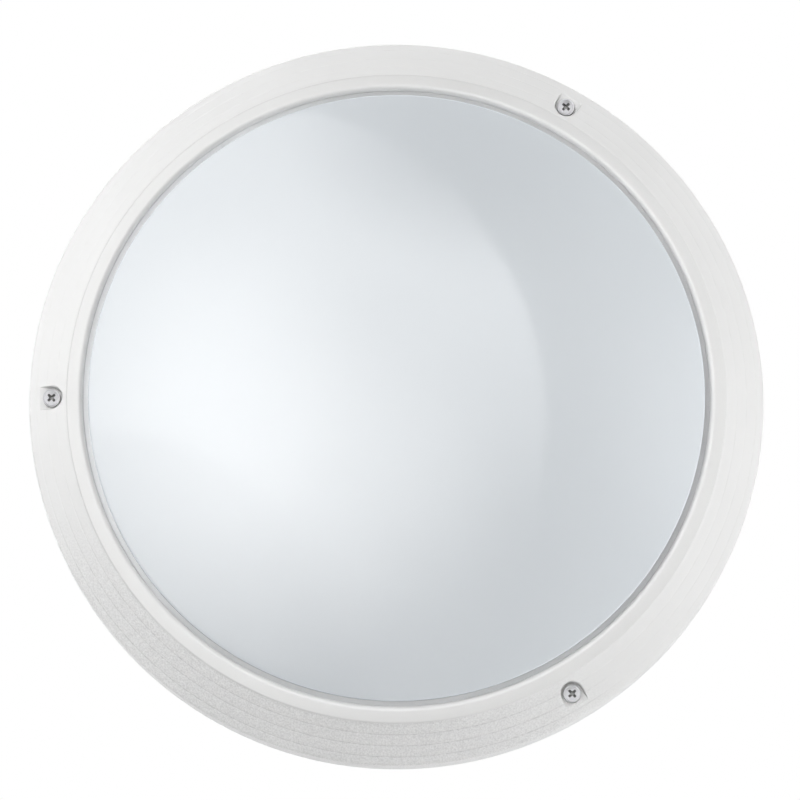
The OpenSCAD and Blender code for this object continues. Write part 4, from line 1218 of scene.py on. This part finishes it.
@dataclass(frozen=True)
class CarriedNodes:
    """The nodes whose solids are shown as they are, with their finishes."""

    finishes: tuple[tuple[Finish, tuple[str, ...]], ...] = (
        (PAN_COAT, ("base_housing",)),
        (SILICONE, ("housing_gasket", "side_plug_seals", "fixing_seals")),
        (IVORY_PLASTIC, ("screw_retainers", "terminal_block")),
        (BRIGHT_STEEL, ("diffuser_clips", "clip_screws", "tray_screws", "led_board_screws",
                        "driver_screws", "terminal_screws", "terminal_block_screws", "earth_screw",
                        "earth_washer")),
        (TRAY_COAT, ("gear_tray",)),
        (RUBBER, ("tray_bush", "rear_grommet")),
        (BOARD_MASK, ("led_board",)),
        (CHIP_RESIN, ("led_chips",)),
        (WHITE_PLASTIC, ("led_connector", "side_plugs")),
        (CASE_PLASTIC, ("driver_base", "driver_cover")),
        (CIRCUIT_BOARD, ("driver_board",)),
        (ORANGE_PLASTIC, ("driver_terminals",)),
        (BRASS, ("terminal_sleeves", "earth_lug")),
        (BROWN_WIRE, ("lead_live",)),
        (BLUE_WIRE, ("lead_neutral",)),
        (EARTH_WIRE, ("lead_earth",)),
        (RED_WIRE, ("lead_led_positive",)),
        (BLACK_WIRE, ("lead_led_negative",)),
    )

    def dress(self) -> int:
        """Gives every carried node its finish.

        Returns:
            The number of nodes dressed.
        """
        count = 0
        for finish, names in self.finishes:
            for name in names:
                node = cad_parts[name]
                node.data.materials.clear()
                node.data.materials.append(finish.material())
                count += 1
        return count


# Studio


def direction_at(azimuth: float, elevation: float) -> Vector:
    """Gives a direction away from the light.

    Args:
        azimuth: Angle to the right of the front, in degrees.
        elevation: Angle above the level, in degrees.

    Returns:
        The direction, of length one.
    """
    az, el = math.radians(azimuth), math.radians(elevation)
    return Vector((math.sin(az) * math.cos(el), -math.cos(az) * math.cos(el), math.sin(el)))


@dataclass(frozen=True)
class Softbox:
    """One round area lamp that looks at the light and shows in no reflection."""

    name: str
    azimuth: float
    elevation: float
    radiance: float
    distance: float = 1.5
    radius: float = 0.402

    def build(self) -> bpy.types.Object:
        """Adds the lamp to the scene.

        Returns:
            The lamp.
        """
        lamp = bpy.data.lights.new(self.name, "AREA")
        lamp.shape = "DISK"
        lamp.size = 2 * self.radius
        lamp.energy = self.radiance * math.pi * (math.pi * self.radius ** 2)
        body = bpy.data.objects.new(self.name, lamp)
        bpy.context.scene.collection.objects.link(body)
        body.location = direction_at(self.azimuth, self.elevation) * self.distance + DOME_MIDDLE
        body.rotation_euler = (body.location - DOME_MIDDLE).to_track_quat("Z", "Y").to_euler()
        body.visible_camera = False
        body.visible_glossy = False
        return body


class Rim(Enum):
    """What a card does to the background behind it, and how it ends towards its rim."""

    SOLID = "hides the background and ends sharply"
    ADDED = "adds light and ends sharply"
    GLOW = "adds light and fades out"
    SHADE = "hides the background and fades out"


@dataclass(frozen=True)
class Card:
    """A round card that only shows in reflections and neither lights nor shades anything."""

    name: str
    azimuth: float
    elevation: float
    distance: float
    half_angle: float
    radiance: float
    rim: Rim = Rim.SOLID
    fall_span: Point = (-1.2, 2.4)
    fall_share: float = 0.2

    def share(self, nodes: Nodes, middle: Vector, radius: float) -> Socket:
        """Gives the share of the card's effect at each place on it.

        Args:
            nodes: The node tree of the card's material.
            middle: Middle of the card.
            radius: Its radius.

        Returns:
            A value that falls with the height where the rim is ADDED, and otherwise from one in
            the middle to nothing at the rim.
        """
        if self.rim is Rim.ADDED:
            height = nodes.add("SeparateXYZ", {"Vector": nodes.place}).outputs["Z"]
            return nodes.mapped(height, self.fall_span, (self.fall_share, 1.0))
        apart = nodes.add("VectorMath", {0: nodes.place, 1: middle}, operation="DISTANCE")
        return nodes.mapped(apart.outputs["Value"], (0.0, radius), (1.0, 0.0), "SMOOTHSTEP")

    def surface(self, nodes: Nodes, middle: Vector, radius: float) -> Socket:
        """Gives the card's shader, which lets the background through where the card has no effect.

        Args:
            nodes: The node tree of the card's material.
            middle: Middle of the card.
            radius: Its radius.

        Returns:
            The shader's output.
        """
        if self.rim is Rim.SOLID:
            return nodes.add("Emission", {"Strength": self.radiance}).outputs["Emission"]
        clear = nodes.add("BsdfTransparent").outputs["BSDF"]
        share = self.share(nodes, middle, radius)
        if self.rim is Rim.SHADE:
            shade = nodes.add("Emission", {"Strength": self.radiance}).outputs["Emission"]
            return nodes.add("MixShader", {"Fac": share, 1: clear, 2: shade}).outputs["Shader"]
        strength = nodes.add("Math", {0: share, 1: self.radiance}, operation="MULTIPLY")
        glow = nodes.add("Emission", {"Strength": strength.outputs["Value"]}).outputs["Emission"]
        return nodes.add("AddShader", {0: clear, 1: glow}).outputs["Shader"]

    def spare(self, piece: bpy.types.Object) -> None:
        """Keeps a card that adds light out of one piece's reflections.

        Args:
            piece: The piece.
        """
        if self.rim not in (Rim.ADDED, Rim.GLOW):
            return
        spared = bpy.data.collections.new(f"{self.name}_spares")
        spared.objects.link(piece)
        spared.collection_objects[0].light_linking.link_state = "EXCLUDE"
        bpy.data.objects[self.name].light_linking.receiver_collection = spared

    def build(self) -> bpy.types.Object:
        """Adds the card, as a round sheet that faces the light.

        Returns:
            The card.
        """
        count = 96
        away = direction_at(self.azimuth, self.elevation) * self.distance + DOME_MIDDLE
        turn = (DOME_MIDDLE - away).to_track_quat("Z", "Y").to_matrix()
        radius = self.distance * math.tan(math.radians(self.half_angle))
        rim = [away + turn @ point for point in circle_loop(radius, 0.0, count)]
        mesh = bpy.data.meshes.new(self.name)
        mesh.from_pydata([tuple(p) for p in rim], [], [tuple(range(count))])
        card = new_object(self.name, mesh)
        nodes = Nodes(bpy.data.materials.new(self.name))
        output = nodes.tree.nodes["Material Output"]
        nodes.link(self.surface(nodes, away, radius), output.inputs["Surface"])
        mesh.materials.append(nodes.owner)
        for use in ("camera", "diffuse", "shadow", "transmission", "volume_scatter"):
            setattr(card, f"visible_{use}", False)
        return card


@dataclass(frozen=True)
class Studio:
    """Floor, lamps, background and camera."""

    floor_z: float = -0.62
    floor_half: float = 4.0
    front_fill: float = 0.15
    back_fill: float = 0.32
    distance: float = 2.0
    elevation: float = -10.876
    azimuth: float = -0.266
    roll: float = -0.194
    target: tuple[float, float, float] = (0.00158, -0.045, 0.00124)
    lens: float = 199.459
    lamps: tuple[Softbox, ...] = (
        Softbox("right", 72.0, 0.0, 4.0),
        Softbox("high_right", 69.4, 28.4, 2.6),
        Softbox("top_right", 57.0, 55.4, 0.7),
        Softbox("top", 0.0, 72.0, 2.1),
        Softbox("top_left", -57.0, 55.4, 2.6),
        Softbox("high_left", -69.4, 28.4, 3.9),
        Softbox("left", -72.0, 0.0, 2.3),
        Softbox("low_right", 69.4, -28.4, 2.8, 1.0, 0.268),
    )
    cards: tuple[Card, ...] = (
        Card("key_card", -31.9, 2.7, 3.2, 56.2, 2.6, Rim.ADDED),
        Card("low_left_card", -50.6, -30.4, 2.6, 35.1, 1.15),
        Card("right_card", 105.0, 0.0, 2.8, 44.0, 0.1),
        Card("low_card", 0.0, -90.0, 2.4, 36.0, 0.15),
        Card("wide_glow", -25.0, 10.0, 2.0, 55.0, 3.5, Rim.GLOW),
        Card("left_glow", -32.0, 11.0, 2.0, 32.0, 3.7, Rim.GLOW),
        Card("middle_glow", -8.0, -6.0, 2.0, 30.0, 2.65, Rim.GLOW),
        Card("left_low_glow", -40.0, -8.0, 2.0, 30.0, 2.1, Rim.GLOW),
        Card("right_glow", 35.0, 11.0, 2.0, 32.0, 0.46, Rim.GLOW),
        Card("far_right_glow", 60.0, 5.0, 2.0, 30.0, 1.5, Rim.GLOW),
        Card("low_glow", -25.0, -20.0, 2.0, 28.0, 1.8, Rim.GLOW),
        Card("lowest_glow", 5.0, -28.0, 2.0, 22.0, 0.26, Rim.GLOW),
        Card("top_shade", 22.0, 57.0, 1.9, 32.0, 0.0, Rim.SHADE),
    )

    def add_floor(self) -> None:
        """Adds the pale floor, which keeps the light's shadow."""
        half = self.floor_half
        plan = ((-half, -half), (half, -half), (half, half), (-half, half))
        corners = [Vector((x, y, self.floor_z)) for x, y in plan]
        floor = new_object("floor", mesh_from("floor", corners, [(0, 1, 2, 3)]))
        floor.data.materials.append(FLOOR_PAINT.material())
        floor.visible_glossy = False

    def add_world(self) -> None:
        """Sets a white background for the camera and reflections, and a soft fill for the rest."""
        nodes = Nodes(bpy.data.worlds.new("studio"))
        bpy.context.scene.world = nodes.owner
        rays = nodes.add("LightPath").outputs
        seen = rays["Is Camera Ray"]
        for name in ("Is Glossy Ray", "Is Transmission Ray"):
            seen = nodes.add("Math", {0: seen, 1: rays[name]}, operation="MAXIMUM").outputs["Value"]
        depth = nodes.add("SeparateXYZ", {"Vector": nodes.coordinates["Generated"]}).outputs["Y"]
        fill = nodes.mapped(depth, (-0.3, 0.3), (self.front_fill, self.back_fill))
        background = nodes.tree.nodes["Background"].inputs
        background["Color"].default_value = (1.0, 1.0, 1.0, 1.0)
        strength = nodes.add("Mix", {"A": fill, "B": 1.0, "Factor": seen}).outputs["Result"]
        nodes.link(strength, background["Strength"])

    def add_camera(self) -> None:
        """Adds the camera at the photograph's viewing angle."""
        away = direction_at(self.azimuth, self.elevation)
        right = (-away).cross(Vector((0, 0, 1))).normalized()
        up = right.cross(-away)
        cos, sin = math.cos(math.radians(self.roll)), math.sin(math.radians(self.roll))
        right, up = right * cos + up * sin, up * cos - right * sin
        data = bpy.data.cameras.new("camera")
        data.lens = self.lens
        data.sensor_width = 36.0
        data.clip_end = 50.0
        camera = bpy.data.objects.new("camera", data)
        bpy.context.scene.collection.objects.link(camera)
        turn = Matrix((right, up, away)).transposed().to_4x4()
        camera.matrix_world = Matrix.Translation(Vector(self.target) + away * self.distance) @ turn
        bpy.context.scene.camera = camera

    def build(self) -> None:
        """Builds the whole studio."""
        bpy.context.scene.view_settings.view_transform = "Standard"
        self.add_camera()
        self.add_floor()
        self.add_world()
        for stand in (*self.lamps, *self.cards):
            stand.build()

    def spare(self, piece: bpy.types.Object) -> None:
        """Keeps the cards that add light out of one piece's reflections."""
        for card in self.cards:
            card.spare(piece)


def main() -> None:
    """Builds the studio and the light's pieces in order and dresses the carried nodes."""
    logging.basicConfig(level=logging.INFO, format="%(message)s")
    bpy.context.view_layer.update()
    studio = Studio()
    studio.build()
    log.info("studio built")
    sizes = LightSizes()
    for part in (Bezel(sizes), Diffuser(sizes), DomeGasket(sizes), BezelScrews(sizes)):
        piece = part.build()
        log.info("%s: %d faces", piece.name, len(piece.data.polygons))
        if isinstance(part, BezelScrews):
            studio.spare(piece)
    log.info("carried nodes dressed: %d", CarriedNodes().dress())


if __name__ == "__main__":
    main()
